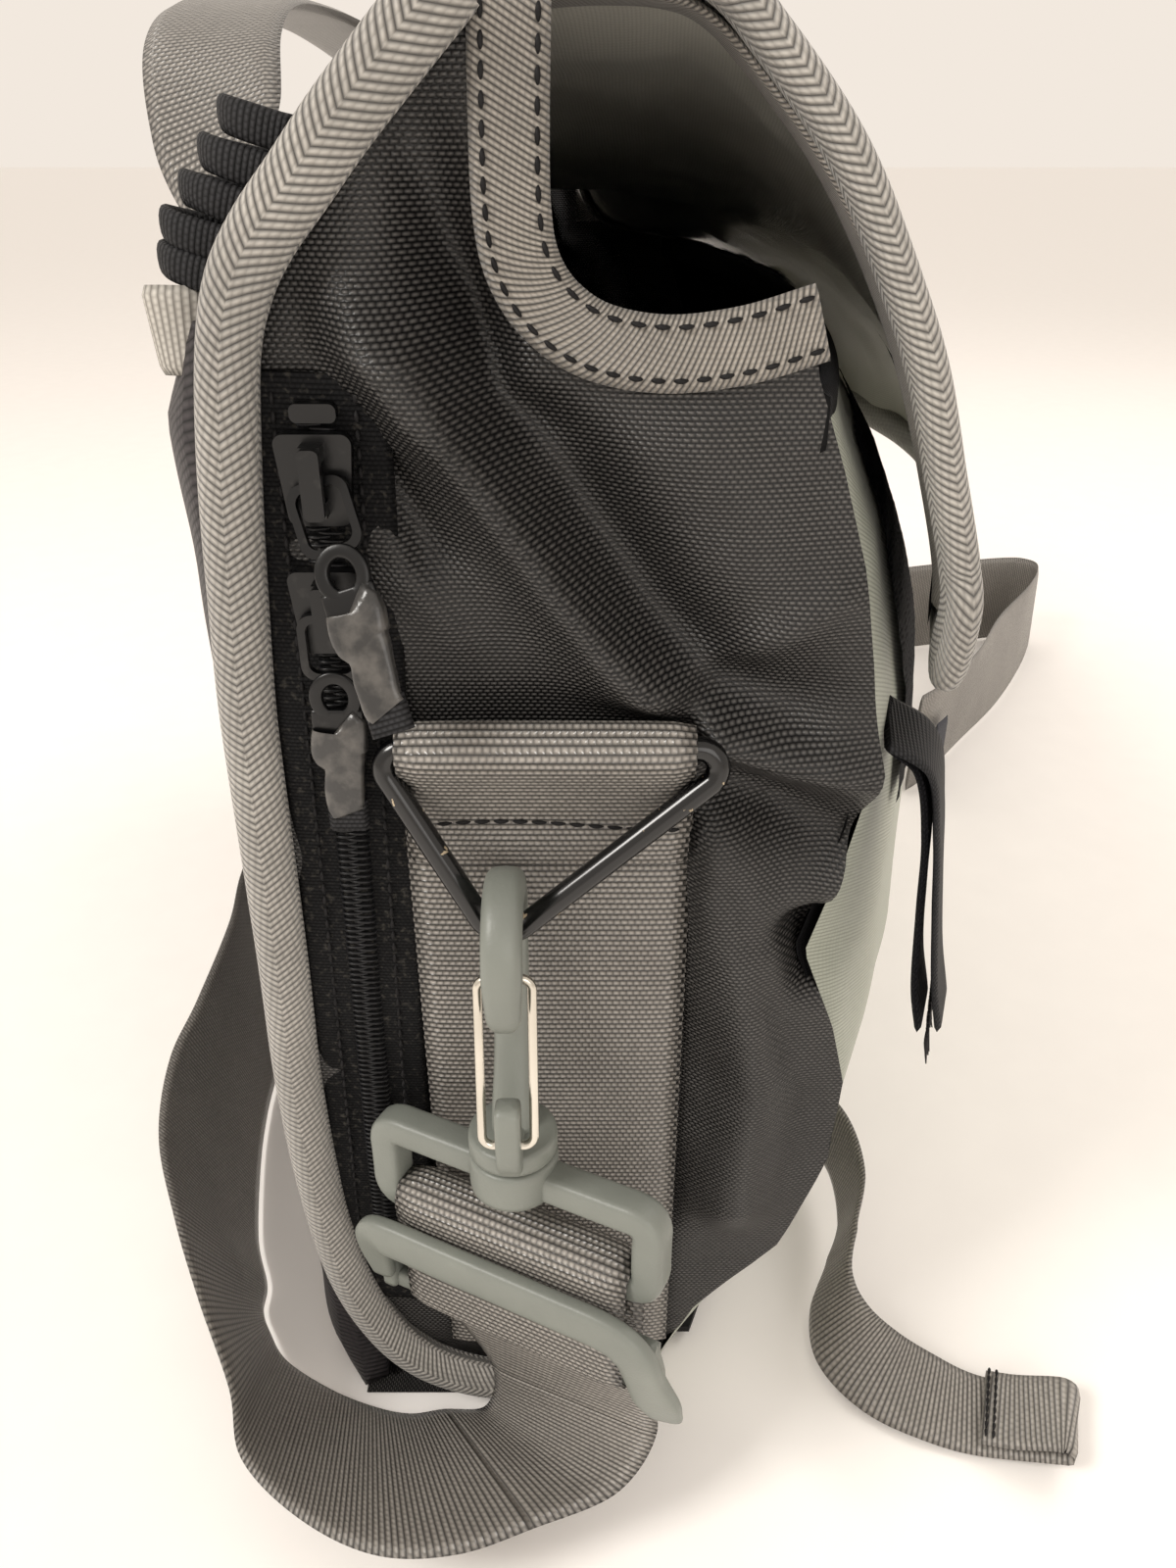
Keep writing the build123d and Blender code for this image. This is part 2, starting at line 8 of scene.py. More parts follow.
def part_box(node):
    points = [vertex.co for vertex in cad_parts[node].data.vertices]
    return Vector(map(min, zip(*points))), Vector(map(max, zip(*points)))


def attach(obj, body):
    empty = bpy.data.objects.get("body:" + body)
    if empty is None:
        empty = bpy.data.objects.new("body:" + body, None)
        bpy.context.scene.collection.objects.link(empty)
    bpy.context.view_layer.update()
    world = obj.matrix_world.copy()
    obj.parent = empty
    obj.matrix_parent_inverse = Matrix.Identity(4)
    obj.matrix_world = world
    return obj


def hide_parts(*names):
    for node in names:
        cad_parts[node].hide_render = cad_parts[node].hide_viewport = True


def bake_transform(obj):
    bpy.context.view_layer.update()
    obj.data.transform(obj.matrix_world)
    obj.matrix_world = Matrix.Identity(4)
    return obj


# Shoulder bag seen from its near end.  +Z up, X along the bag, +Y towards the back panel.
# Lengths below are millimetres; build_mesh() turns them into metres.
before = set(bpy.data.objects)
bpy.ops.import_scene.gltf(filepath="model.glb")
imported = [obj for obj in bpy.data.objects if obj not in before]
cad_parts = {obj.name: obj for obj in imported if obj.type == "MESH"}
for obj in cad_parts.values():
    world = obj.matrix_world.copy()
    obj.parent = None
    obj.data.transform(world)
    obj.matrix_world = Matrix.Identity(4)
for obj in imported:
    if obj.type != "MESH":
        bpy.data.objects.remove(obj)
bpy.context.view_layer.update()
MM = 0.001


def high_corner(name):
    """Highest x, y and z of a CAD node, in millimetres."""
    return np.array(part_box(name)[1]) / MM


# ---- driving dimensions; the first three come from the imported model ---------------
BACK_Y, PANEL_TOP = high_corner("back_panel")[1:]
FLAP_HALF = high_corner("flap_binding")[0]
WEBBING_WIDTH = 49.0
WEBBING_THICK = 1.5
WEBBING_STEPS = 15                   # points across each face of the wide webbing
TAIL_WIDTH = 19.5
TAIL_THICK = 1.4
HANG_HEIGHTS = (46, 28)              # where the strap below the near slider passes to the next body
HANG_PLACES_Y = (22, 88)             # and where it does so once it has turned along the table
HALF_LENGTH = 184.0                  # middle of the bag to a gusset, at the height LEAN_Z
LEAN_Z = 175.0
LEAN = tan(radians(3.0))             # a gusset leans outward towards its top
BASE_HALF = 176.0
PAD_SWELL = 11.0                     # how far its foam pushes the back's cloth out
HINGE_Y = 14.0
SWIVEL = np.array((-200.5, 13.4))    # x and y of the near hook's swivel pin
LOOP_YAW = radians(26.0)             # how far the near loop is turned on it
TURNED_X = np.array((-sin(LOOP_YAW), -cos(LOOP_YAW), 0.0))
TURNED_Z = np.array((-cos(LOOP_YAW), sin(LOOP_YAW), 0.0))


def gusset_x(z):
    """How far out the near gusset's face is at a height."""
    return -HALF_LENGTH - (z - LEAN_Z) * LEAN


def on_side(y, z, out=0.0):
    """A point on the near gusset, or a distance in front of it."""
    return (gusset_x(z) - out, y, z)


# ---- mesh making -----------------------------------------------------------------
def smooth_line(points, count, closed=False):
    """Evenly spaced rows along a smooth curve through the given rows; x, y, z come first in each."""
    rows = np.array(points, float)
    total = len(rows)
    fine = []
    for i in range(total if closed else total - 1):
        if closed:
            a, b, c, d = (rows[(i + k) % total] for k in (-1, 0, 1, 2))
        else:
            b, c = rows[i], rows[i + 1]
            a = rows[i - 1] if i else 2 * b - c
            d = rows[i + 2] if i + 2 < total else 2 * c - b
        t = np.linspace(0, 1, 24, endpoint=False)[:, None]
        fine.append(0.5 * (2 * b + (c - a) * t + (2 * a - 5 * b + 4 * c - d) * t ** 2
                           + (3 * b - a - 3 * c + d) * t ** 3))
    fine.append(rows[:1] if closed else rows[-1:])
    fine = np.concatenate(fine)
    along = np.concatenate([[0], np.cumsum(np.linalg.norm(np.diff(fine[:, :3], axis=0), axis=1))])
    wanted = np.linspace(0, along[-1], count + 1 if closed else count)
    line = np.stack([np.interp(wanted, along, column) for column in fine.T], axis=1)
    return line[:-1] if closed else line


def build_mesh(name, points, faces, uvs, material, body, slot, far=False, replaces=()):
    """A smooth mesh from millimetre points; far=True mirrors it to the far end."""
    points = np.array(points, float).reshape(-1, 3) * MM
    if far:
        points = points * (-1, 1, 1)
        faces = [face[::-1] for face in faces]
    mesh = bpy.data.meshes.new(name)
    mesh.from_pydata(points.tolist(), [], [tuple(int(i) for i in face) for face in faces])
    layer = mesh.uv_layers.new(name="UVMap")
    corner_vertices = np.zeros(len(mesh.loops), int)
    mesh.loops.foreach_get("vertex_index", corner_vertices)
    layer.data.foreach_set("uv", (np.array(uvs, float).reshape(-1, 2)[corner_vertices] * MM).ravel())
    mesh.polygons.foreach_set("use_smooth", [True] * len(mesh.polygons))
    mesh.materials.append(material)
    mesh.validate()
    piece = bpy.data.objects.new(name, mesh)
    bpy.context.scene.collection.objects.link(piece)
    if body:
        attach(piece, body)
    if replaces:
        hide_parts(*replaces)
    return piece


def grid_faces(rows, columns, close_rows=False, close_columns=False):
    """Quads of a grid whose points are stored row by row."""
    faces = []
    for i in range(rows if close_rows else rows - 1):
        for j in range(columns if close_columns else columns - 1):
            a, b = i * columns + j, i * columns + (j + 1) % columns
            c, d = ((i + 1) % rows) * columns + (j + 1) % columns, ((i + 1) % rows) * columns + j
            faces.append((a, b, c, d))
    return faces


def grid_uv(grid):
    """Distances across and along a grid of points, from its middle column."""
    across = np.concatenate([np.zeros((len(grid), 1)),
                             np.cumsum(np.linalg.norm(np.diff(grid, axis=1), axis=2), axis=1)], axis=1)
    across -= across[:, [across.shape[1] // 2]]
    middle = grid[:, grid.shape[1] // 2]
    along = np.concatenate([[0], np.cumsum(np.linalg.norm(np.diff(middle, axis=0), axis=1))])
    return np.stack([across, np.repeat(along[:, None], grid.shape[1], axis=1)], axis=2)


def sheet_mesh(name, grid, material, body, slot, keep=None, uv=None, **more):
    """A single sheet over a grid of points; keep says which cells are cloth."""
    rows, columns = grid.shape[:2]
    faces = grid_faces(rows, columns)
    if keep is not None:
        faces = [face for face, kept in zip(faces, keep.ravel()) if kept]
    uv = grid_uv(grid) if uv is None else uv
    used = sorted({i for face in faces for i in face})
    places = {old: new for new, old in enumerate(used)}
    faces = [tuple(places[i] for i in face) for face in faces]
    return build_mesh(name, grid.reshape(-1, 3)[used], faces, uv.reshape(-1, 2)[used], material, body,
                      slot, **more)


def flat_section(width, thick, steps=11):
    """Closed outline of a strap: flat faces and rounded selvedges."""
    across = np.linspace(-1, 1, steps)
    half = 0.5 * thick * (1 - np.abs(across) ** 12)
    top = [(0.5 * width * a, h) for a, h in zip(across, half)]
    under = [(0.5 * width * a, -h) for a, h in zip(across[-2:0:-1], half[-2:0:-1])]
    return np.array(top + under)


def oval_section(width, thick, power=2.0, steps=20):
    """Closed outline between an ellipse (power 2) and a rounded rectangle (power 5)."""
    turns = np.linspace(0, 2 * pi, steps, endpoint=False)
    c, s = np.cos(turns), np.sin(turns)
    return np.stack([0.5 * width * np.sign(c) * np.abs(c) ** (2 / power),
                     0.5 * thick * np.sign(s) * np.abs(s) ** (2 / power)], axis=1)


def frames_along(line, closed):
    """Unit across and out directions for each row of a line; columns 3 to 5 ask for the across one."""
    points = line[:, :3]
    if closed:
        ahead = np.roll(points, -1, axis=0) - np.roll(points, 1, axis=0)
    else:
        ahead = np.gradient(points, axis=0)
    ahead /= np.linalg.norm(ahead, axis=1, keepdims=True)
    across = line[:, 3:6] - ahead * np.sum(line[:, 3:6] * ahead, axis=1, keepdims=True)
    across /= np.linalg.norm(across, axis=1, keepdims=True)
    return across, np.cross(ahead, across)


def sweep(name, line, section, material, body, slot, closed=False, round_uv=False, **more):
    """A section carried along a line.  Columns 6 and 7 of the line, if any, scale its two sides."""
    across, out = frames_along(line, closed)
    scale = line[:, 6:8] if line.shape[1] > 7 else np.ones((len(line), 2))
    grid = (line[:, None, :3] + across[:, None] * (section[None, :, :1] * scale[:, None, :1])
            + out[:, None] * (section[None, :, 1:] * scale[:, None, 1:]))
    rows, columns = grid.shape[:2]
    faces = grid_faces(rows, columns, close_rows=closed, close_columns=True)
    along = np.concatenate([[0], np.cumsum(np.linalg.norm(np.diff(line[:, :3], axis=0), axis=1))])
    if round_uv:
        edge = np.linalg.norm(np.diff(section, axis=0), axis=1)
        u = np.concatenate([[0], np.cumsum(edge)]) - 0.5 * edge.sum()
    else:
        u = section[:, 0]
    uv = np.stack(np.broadcast_arrays(u[None, :], along[:, None]), axis=2)
    points, uvs = grid.reshape(-1, 3), uv.reshape(-1, 2)
    if not closed:
        ends = len(points)
        points = np.concatenate([points, line[[0, -1], :3]])
        uvs = np.concatenate([uvs, [(0, along[0]), (0, along[-1])]])
        last = (rows - 1) * columns
        for j in range(columns):
            faces.append((ends, (j + 1) % columns, j))
            faces.append((ends + 1, last + j, last + (j + 1) % columns))
    return build_mesh(name, points, faces, uvs, material, body, slot, **more)


def rows_of(points, across, scales=None):
    """Line rows with one across direction, or one for each point."""
    across = np.array(across, float)
    if across.ndim == 1:
        across = np.repeat(across[None], len(points), axis=0)
    columns = [np.array(points, float), across]
    if scales is not None:
        columns.append(np.array(scales, float))
    return np.concatenate(columns, axis=1)


def join(pieces, name):
    """Pieces of one body and slot as one object; the first one's settings stay."""
    bpy.ops.object.select_all(action="DESELECT")
    for piece in pieces:
        piece.select_set(True)
    bpy.context.view_layer.objects.active = pieces[0]
    bpy.ops.object.join()
    pieces[0].name = name
    return pieces[0]


# ---- materials ------------------------------------------------------------------
def linear(red, green, blue):
    """A display colour from 0 to 255 as scene-linear RGBA."""
    return tuple((((c / 255) + 0.055) / 1.055) ** 2.4 if c > 10 else c / 255 / 12.92
                 for c in (red, green, blue)) + (1.0,)


class Finish:
    """A procedural material put together from short node calls."""

    def __init__(self, name, rough=0.6, **sockets):
        self.material = bpy.data.materials.new(name)
        self.material.use_nodes = True
        self.tree = self.material.node_tree
        self.shader = self.tree.nodes["Principled BSDF"]
        self.shader.inputs["Roughness"].default_value = rough
        for socket, value in sockets.items():
            self.shader.inputs[socket.replace("_", " ")].default_value = value
        self.coordinates = self.tree.nodes.new("ShaderNodeTexCoord")

    def link(self, source, target):
        if isinstance(source, bpy.types.NodeSocket):
            self.tree.links.new(source, target)
        else:
            target.default_value = source

    def calc(self, operation, a, b=0.0, c=None):
        """One math node."""
        node = self.tree.nodes.new("ShaderNodeMath")
        node.operation = operation
        self.link(a, node.inputs[0])
        self.link(b, node.inputs[1])
        if c is not None:
            self.link(c, node.inputs[2])
        return node.outputs[0]

    def mix(self, share, low, high):
        """Blend two colours."""
        node = self.tree.nodes.new("ShaderNodeMix")
        node.data_type = "RGBA"
        self.link(share, node.inputs["Factor"])
        self.link(low, node.inputs["A"])
        self.link(high, node.inputs["B"])
        return node.outputs["Result"]

    def clouds(self, size, detail=3.0, where="Object"):
        """Noise from 0 to 1 whose lumps are about size millimetres across."""
        node = self.tree.nodes.new("ShaderNodeTexNoise")
        node.inputs["Scale"].default_value = 1000.0 / size
        node.inputs["Detail"].default_value = detail
        self.link(self.coordinates.outputs[where], node.inputs["Vector"])
        return node.outputs["Fac"]

    def contrast(self, value, low, high):
        """Stretch a range of values over 0 to 1."""
        node = self.tree.nodes.new("ShaderNodeMapRange")
        node.inputs["From Min"].default_value = low
        node.inputs["From Max"].default_value = high
        self.link(value, node.inputs["Value"])
        return node.outputs["Result"]

    def across_and_along(self):
        """The cloth's own coordinates in millimetres."""
        node = self.tree.nodes.new("ShaderNodeSeparateXYZ")
        self.link(self.coordinates.outputs["UV"], node.inputs[0])
        return self.calc("MULTIPLY", node.outputs[0], 1000.0), self.calc("MULTIPLY", node.outputs[1], 1000.0)

    def crests(self, value, pitch):
        """Rounded threads of one pitch: 1 on top of a thread and 0 between two."""
        return self.calc("ABSOLUTE", self.calc("SINE", self.calc("MULTIPLY", value, pi / pitch)))

    def plain_weave(self, pitch_across, pitch_along):
        """Threads that pass over and under one another."""
        u, v = self.across_and_along()
        column = self.calc("FLOOR", self.calc("DIVIDE", u, pitch_across))
        row = self.calc("FLOOR", self.calc("DIVIDE", v, pitch_along))
        top = self.calc("PINGPONG", self.calc("ADD", column, row), 1.0)
        warp, weft = self.crests(u, pitch_across), self.crests(v, pitch_along)
        over = self.calc("MULTIPLY", warp, self.calc("MULTIPLY_ADD", weft, 0.6, 0.4))
        under = self.calc("MULTIPLY", weft, self.calc("MULTIPLY_ADD", warp, 0.6, 0.4))
        return self.calc("ADD", self.calc("MULTIPLY", over, top),
                         self.calc("MULTIPLY", under, self.calc("SUBTRACT", 1.0, top)))

    def ribs(self, pitch_along, pitch_across, share=0.35):
        """Cross ribs broken into warp threads, each row set off by half a thread."""
        u, v = self.across_and_along()
        row = self.calc("PINGPONG", self.calc("FLOOR", self.calc("DIVIDE", v, pitch_along)), 1.0)
        shifted = self.calc("ADD", u, self.calc("MULTIPLY", row, pitch_across * 0.5))
        rib, thread = self.crests(v, pitch_along), self.crests(shifted, pitch_across)
        return self.calc("MULTIPLY", rib, self.calc("MULTIPLY_ADD", thread, share, 1.0 - share))

    def twill(self, pitch, slope=1.0, chevron=0.0):
        """Diagonal ridges, turned back at every chevron of that width when it isn't 0."""
        u, v = self.across_and_along()
        if chevron:
            u = self.calc("PINGPONG", self.calc("ADD", u, 100.0 * chevron), chevron)
        diagonal = self.calc("ADD", self.calc("MULTIPLY", u, slope), v)
        ridge = self.crests(diagonal, pitch)
        thread = self.crests(self.calc("SUBTRACT", u, self.calc("MULTIPLY", v, 0.15)), pitch * 0.9)
        return self.calc("MULTIPLY", ridge, self.calc("MULTIPLY_ADD", thread, 0.3, 0.7))

    def cloth(self, height, dark, light, bump, wear=0.35, dust=0.0, sharp=0.0):
        """Colour a weave from its hollows to its crests, which paints shade into the hollows and highlight
        onto the crests, with faded and dusty patches.
        """
        if sharp:
            height = self.calc("POWER", height, sharp)
        faded = self.contrast(self.clouds(34.0, 4.0), 0.35, 0.7)
        fine = self.contrast(self.clouds(1.6, 2.0), 0.3, 0.75)
        # Painted shade and highlight: the weave's height mixes the dark hollow colour up to the light crest
        # colour.
        painted_crest_light = self.calc("MULTIPLY", self.calc("MULTIPLY_ADD", fine, 0.25, 0.8), height)
        share = self.calc("MULTIPLY", painted_crest_light, self.calc("MULTIPLY_ADD", faded, wear, 1.0 - 0.5 * wear))
        colour = self.mix(share, linear(*dark), linear(*light))
        if dust:
            specks = self.contrast(self.clouds(1.1, 6.0), 0.56, 0.75)
            colour = self.mix(self.calc("MULTIPLY", specks, dust), colour, linear(*DUST_COLOUR))
        self.link(colour, self.shader.inputs["Base Color"])
        self.raise_by(self.calc("MULTIPLY_ADD", fine, 0.15, height), bump)
        return self.material

    def raise_by(self, height, distance):
        node = self.tree.nodes.new("ShaderNodeBump")
        node.inputs["Strength"].default_value = 1.0
        node.inputs["Distance"].default_value = distance * MM
        self.link(height, node.inputs["Height"])
        self.link(node.outputs["Normal"], self.shader.inputs["Normal"])

    def moulded(self, dark, light, grain, bump):
        """Plastic or paint: slow colour drift and a fine grain."""
        drift = self.contrast(self.clouds(18.0, 3.0), 0.3, 0.7)
        self.link(self.mix(drift, linear(*dark), linear(*light)), self.shader.inputs["Base Color"])
        self.raise_by(self.clouds(grain, 2.0), bump)
        return self.material


DUST_COLOUR = (172, 166, 154)
# Roughness and shader inputs, weave and its measures, colours of hollows and crests (painted shade and
# painted highlight), bump height.
WOVEN = {
    "ballistic_nylon": (0.36, {"Specular_IOR_Level": 0.34}, Finish.ribs, (0.72, 1.15, 0.8),
                        (2, 2, 3), (92, 90, 88), 0.2, {"wear": 0.3, "sharp": 1.7}),
    "black_nylon": (0.5, {"Specular_IOR_Level": 0.25}, Finish.twill, (1.5, 0.6),
                    (12, 11, 13), (62, 58, 60), 0.2, {"wear": 0.4}),
    # Near-black lining colours: painted shade of the bag's interior.
    "lining": (0.7, {"Specular_IOR_Level": 0.1}, Finish.plain_weave, (0.5, 0.5),
               (8, 8, 9), (26, 26, 28), 0.06, {}),
    "sage_cloth": (0.62, {"Sheen_Weight": 0.15}, Finish.twill, (0.8, 0.45),
                   (128, 132, 119), (172, 176, 162), 0.08, {"wear": 0.3}),
    "coated_lining": (0.42, {"Coat_Weight": 0.12, "Coat_Roughness": 0.35}, Finish.plain_weave, (0.6, 0.6),
                      (186, 184, 174), (212, 210, 200), 0.06, {"wear": 0.3}),
    "grosgrain": (0.5, {"Sheen_Weight": 0.2}, Finish.twill, (0.85, 0.55),
                  (46, 44, 42), (158, 152, 143), 0.26, {}),
    "herringbone": (0.55, {"Sheen_Weight": 0.25}, Finish.twill, (1.35, 0.75, 5.6),
                    (66, 64, 61), (176, 172, 165), 0.3, {}),
    "webbing": (0.3, {"Specular_IOR_Level": 0.75}, Finish.ribs, (1.15, 1.25, 0.65),
                (34, 33, 32), (164, 159, 152), 0.36, {"wear": 0.25}),
    # A lighter copy of the webbing for the long strap and the tail lying in the light: painted light.
    "lit_strap_webbing": (0.4, {"Specular_IOR_Level": 0.6}, Finish.ribs, (1.1, 1.5, 0.35),
                      (62, 60, 58), (166, 161, 154), 0.26, {"wear": 0.3}),
    "zip_cloth": (0.8, {"Specular_IOR_Level": 0.12}, Finish.ribs, (0.7, 0.8, 0.5),
                  (6, 6, 7), (30, 30, 31), 0.14, {"wear": 0.4, "dust": 0.1}),
    "black_webbing": (0.6, {"Specular_IOR_Level": 0.15}, Finish.ribs, (0.8, 0.9, 0.5),
                      (12, 12, 13), (52, 52, 54), 0.2, {"wear": 0.4}),
    "hook_tape": (0.8, {"Specular_IOR_Level": 0.12}, Finish.plain_weave, (1.1, 1.1),
                  (8, 8, 10), (30, 30, 34), 0.5, {"wear": 0.4}),
    "label": (0.6, {}, Finish.plain_weave, (0.5, 0.5),
              (24, 26, 34), (52, 54, 66), 0.06, {}),
    "tag_cloth": (0.7, {}, Finish.ribs, (0.9, 1.0, 0.4),
                  (118, 114, 108), (186, 182, 174), 0.15, {}),
}
# Roughness and shader inputs, two colours that drift into each other, size and height of the grain.
MOULDED = {
    "zip_coil": (0.35, {"Specular_IOR_Level": 0.25}, (16, 16, 17), (30, 30, 32), 0.6, 0.02),
    "stitch": (0.6, {"Specular_IOR_Level": 0.2}, (12, 11, 12), (30, 29, 30), 0.3, 0.05),
    "sage_plastic": (0.4, {"Specular_IOR_Level": 0.5}, (112, 116, 110), (124, 128, 121), 0.55, 0.05),
    "bright_wire": (0.22, {"Metallic": 1.0}, (196, 190, 178), (222, 217, 206), 0.7, 0.01),
    "board": (0.6, {"Specular_IOR_Level": 0.15}, (16, 16, 17), (27, 27, 28), 1.2, 0.05),
}


def make_materials():
    """Every finish of the bag by its name, which is the slot's name where the slot has only one."""
    made = {}
    for name, (rough, inputs, weave, measures, dark, light, bump, more) in WOVEN.items():
        finish = Finish(name, rough, **inputs)
        made[name] = finish.cloth(weave(finish, *measures), dark, light, bump, **more)
    for name, (rough, inputs, dark, light, grain, bump) in MOULDED.items():
        made[name] = Finish(name, rough, **inputs).moulded(dark, light, grain, bump)

    finish = Finish("black_metal", 0.3, Specular_IOR_Level=0.4)
    rubbed = finish.contrast(finish.clouds(3.0, 5.0), 0.6, 0.72)
    finish.link(finish.mix(rubbed, linear(9, 9, 10), linear(34, 33, 32)), finish.shader.inputs["Base Color"])
    finish.raise_by(finish.clouds(0.9, 3.0), 0.02)
    made["black_metal"] = finish.material

    finish = Finish("clear_sleeve", 0.3, Transmission_Weight=0.25, IOR=1.45, Coat_Weight=0.3)
    scuffed = finish.contrast(finish.clouds(3.5, 4.0), 0.42, 0.66)
    finish.link(finish.mix(scuffed, linear(56, 55, 54), linear(98, 95, 91)),
                finish.shader.inputs["Base Color"])
    finish.raise_by(finish.clouds(2.2, 3.0), 0.25)
    made["clear_sleeve"] = finish.material

    finish = Finish("painted_wire", 0.18, Specular_IOR_Level=0.6)
    chips = finish.contrast(finish.clouds(4.2, 5.0), 0.655, 0.665)
    finish.link(finish.mix(chips, linear(5, 5, 6), linear(176, 160, 134)), finish.shader.inputs["Base Color"])
    finish.raise_by(finish.calc("MULTIPLY", chips, -1.0), 0.08)
    made["painted_wire"] = finish.material

    return made


materials = make_materials()

# ---- near and far ends are one design -----------------------------------------
ENDS = (("near", False), ("far", True))
SIDES = ((-1, "near"), (1, "far"))


def wrinkle(point, size, seed=0.0):
    """Smooth noise from -1 to 1 at a millimetre point."""
    x, y, z = (float(value) / size for value in point)
    return noise.noise(Vector((x + seed, y - seed, z + 2 * seed)))


def crease(y, z, path, height, width, sharp):
    """Height of a ridge that follows a line of (y, z, share) points on a gusset."""
    best = np.full(y.shape, 1e9)
    share = np.zeros(y.shape)
    for (ya, za, sa), (yb, zb, sb) in zip(path[:-1], path[1:]):
        dy, dz = yb - ya, zb - za
        t = np.clip(((y - ya) * dy + (z - za) * dz) / (dy * dy + dz * dz), 0, 1)
        gap = np.hypot(y - ya - t * dy, z - za - t * dz)
        nearer = gap < best
        best = np.where(nearer, gap, best)
        share = np.where(nearer, sa + (sb - sa) * t, share)
    return height * share * np.exp(-(best / width) ** (2.0 / sharp))


def steps_between(value, start, end):
    """0 before start, 1 after end, and a smooth rise between."""
    t = np.clip((value - start) / (end - start), 0, 1)
    return t * t * (3 - 2 * t)


# Outlines of a gusset as (z, y): its rear edge, its front seam, and that seam without its dents.
REAR_EDGE = ((0, 34), (10, 38), (22, 42), (47, 49), (82, 52.5), (129, 52.5), (167, 51.5), (205, 50),
             (231, 47), (247, 42.5), (259, 33), (270, 23), (278, 14))
FRONT_SEAM = ((0, -14), (12, -16), (32, -24), (53, -41), (80, -49.5), (102, -50), (116, -46.5), (134, -39.5),
              (154, -44.5), (174, -48), (191, -45), (208, -41.5), (222, -37), (235, -32), (244, -30))
SMOOTH_SEAM = ((0, -14), (12, -18), (32, -30), (53, -42), (102, -48), (174, -47), (208, -41.5), (244, -30))
TAPE_TOP = 243.0                     # height of the cut edge in front
EAR_Y = 5.0                          # behind this the cloth goes on up to the flap
# Folds of the gusset's cloth: (y, z, share of the height) along each, its height, width and sharpness.
FOLDS = (
    (((31, 240, 0.4), (25, 237, 0.9), (18, 226, 1.0), (8, 211, 1.0), (-3, 195, 0.9), (-16, 181, 1.0),
      (-32, 176, 0.8), (-46, 172.5, 0.5)), 12.5, 5.5, 1.3),
    (((35, 244, 0.6), (30, 240, 1.0), (24, 232, 0.8)), 6.5, 7.0, 1.0),
    (((22, 264, 0.5), (19, 252, 1.0), (15, 243, 1.0), (10, 232, 0.7)), -10.0, 5.5, 1.0),
    (((9, 230, 0.5), (2, 217, 1.0), (-8, 202, 1.0), (-18, 190, 0.9), (-30, 184, 0.5)), -9.0, 8.0, 1.0),
    (((-16, 226, 0.8), (-24, 214, 1.0), (-30, 200, 0.8)), 3.5, 11.0, 1.0),
    (((-15, 189, 0.6), (-26, 195, 1.0), (-38, 203, 0.7)), 3.5, 3.5, 1.3),
    (((33, 233, 0.6), (29, 222, 1.0), (24, 212, 0.7)), -5.0, 4.5, 1.0),
    (((32, 224, 0.6), (27, 206, 0.8), (20, 196, 0.4)), 3.0, 3.0, 1.2),
    (((-22, 171, 0.8), (-32, 165, 1.0), (-42, 160, 0.6)), -8.0, 6.0, 1.0),
    (((-22, 158, 0.6), (-28, 135, 0.9), (-32, 105, 1.0), (-30, 70, 0.8)), 8.0, 8.5, 1.0),
    (((-39, 140, 1.0), (-42, 131, 1.0)), -8.0, 5.0, 1.0),
    (((-46, 152, 0.8), (-38, 146, 0.6)), 4.0, 4.0, 1.0),
    (((-24, 150, 0.6), (-36, 118, 0.9), (-42, 96, 0.4)), -3.0, 3.5, 1.3),
)
HIGHEST_FOLD = 14.0


def at_height(table, z):
    """The value of a table of (z, value) at a height."""
    heights, values = zip(*table)
    return np.interp(z, heights, values)


def gusset_folds(y, z):
    """How far the gusset's cloth stands out at a place; hollows are negative.  Smooth under trim."""
    out = sum(crease(y, z, *fold) for fold in FOLDS)
    calm = steps_between(y, 40, 30) * steps_between(z, 4, 40)
    under_tape = 1 - 0.85 * steps_between(z, 226, 236) * steps_between(y, 16, 8)
    webbing = steps_between(z, 189, 180) * steps_between(y, 34, 29) * steps_between(y, -21, -15)
    out = np.minimum(out, HIGHEST_FOLD) * calm * under_tape
    return out * (1 - webbing) - 1.0 * webbing


def make_gusset(end, far):
    """End wall: one cloth with deep folds, cut down in front and rising to the flap behind."""
    heights = np.concatenate([np.arange(1.0, TAPE_TOP - 4, 1.8), np.arange(TAPE_TOP - 4, 279, 1.8)])
    left = np.linspace(0, 1, 30)
    right = np.linspace(0, 1, 36)[1:]
    rear, front = at_height(REAR_EDGE, heights), at_height(FRONT_SEAM, heights)
    y = np.concatenate([rear[:, None] + (EAR_Y - rear[:, None]) * left,
                        EAR_Y + (front[:, None] - EAR_Y) * right], axis=1)
    z = np.repeat(heights[:, None], y.shape[1], axis=1)
    out = gusset_folds(y, z)
    for i, j in np.ndindex(y.shape):
        point = (0, y[i, j], z[i, j])
        out[i, j] += 0.9 * wrinkle(point, 24) + 0.45 * wrinkle(point, 10, 5.0)
    foot = 5.0 * steps_between(z, 26, 0)
    x = -HALF_LENGTH - (z - LEAN_Z) * LEAN - out + foot
    grid = np.stack([x, y, z], axis=2)
    keep = np.ones((len(heights) - 1, y.shape[1] - 1), bool)
    keep[heights[:-1] > TAPE_TOP - 4.5, len(left) - 1:] = False
    uv = np.stack([y, z], axis=2)
    piece = sheet_mesh(f"gusset_cloth_{end}", grid, materials["ballistic_nylon"], "bag", "ballistic_nylon",
                       keep=keep, uv=uv, far=far, replaces=[f"gusset_{end}"])


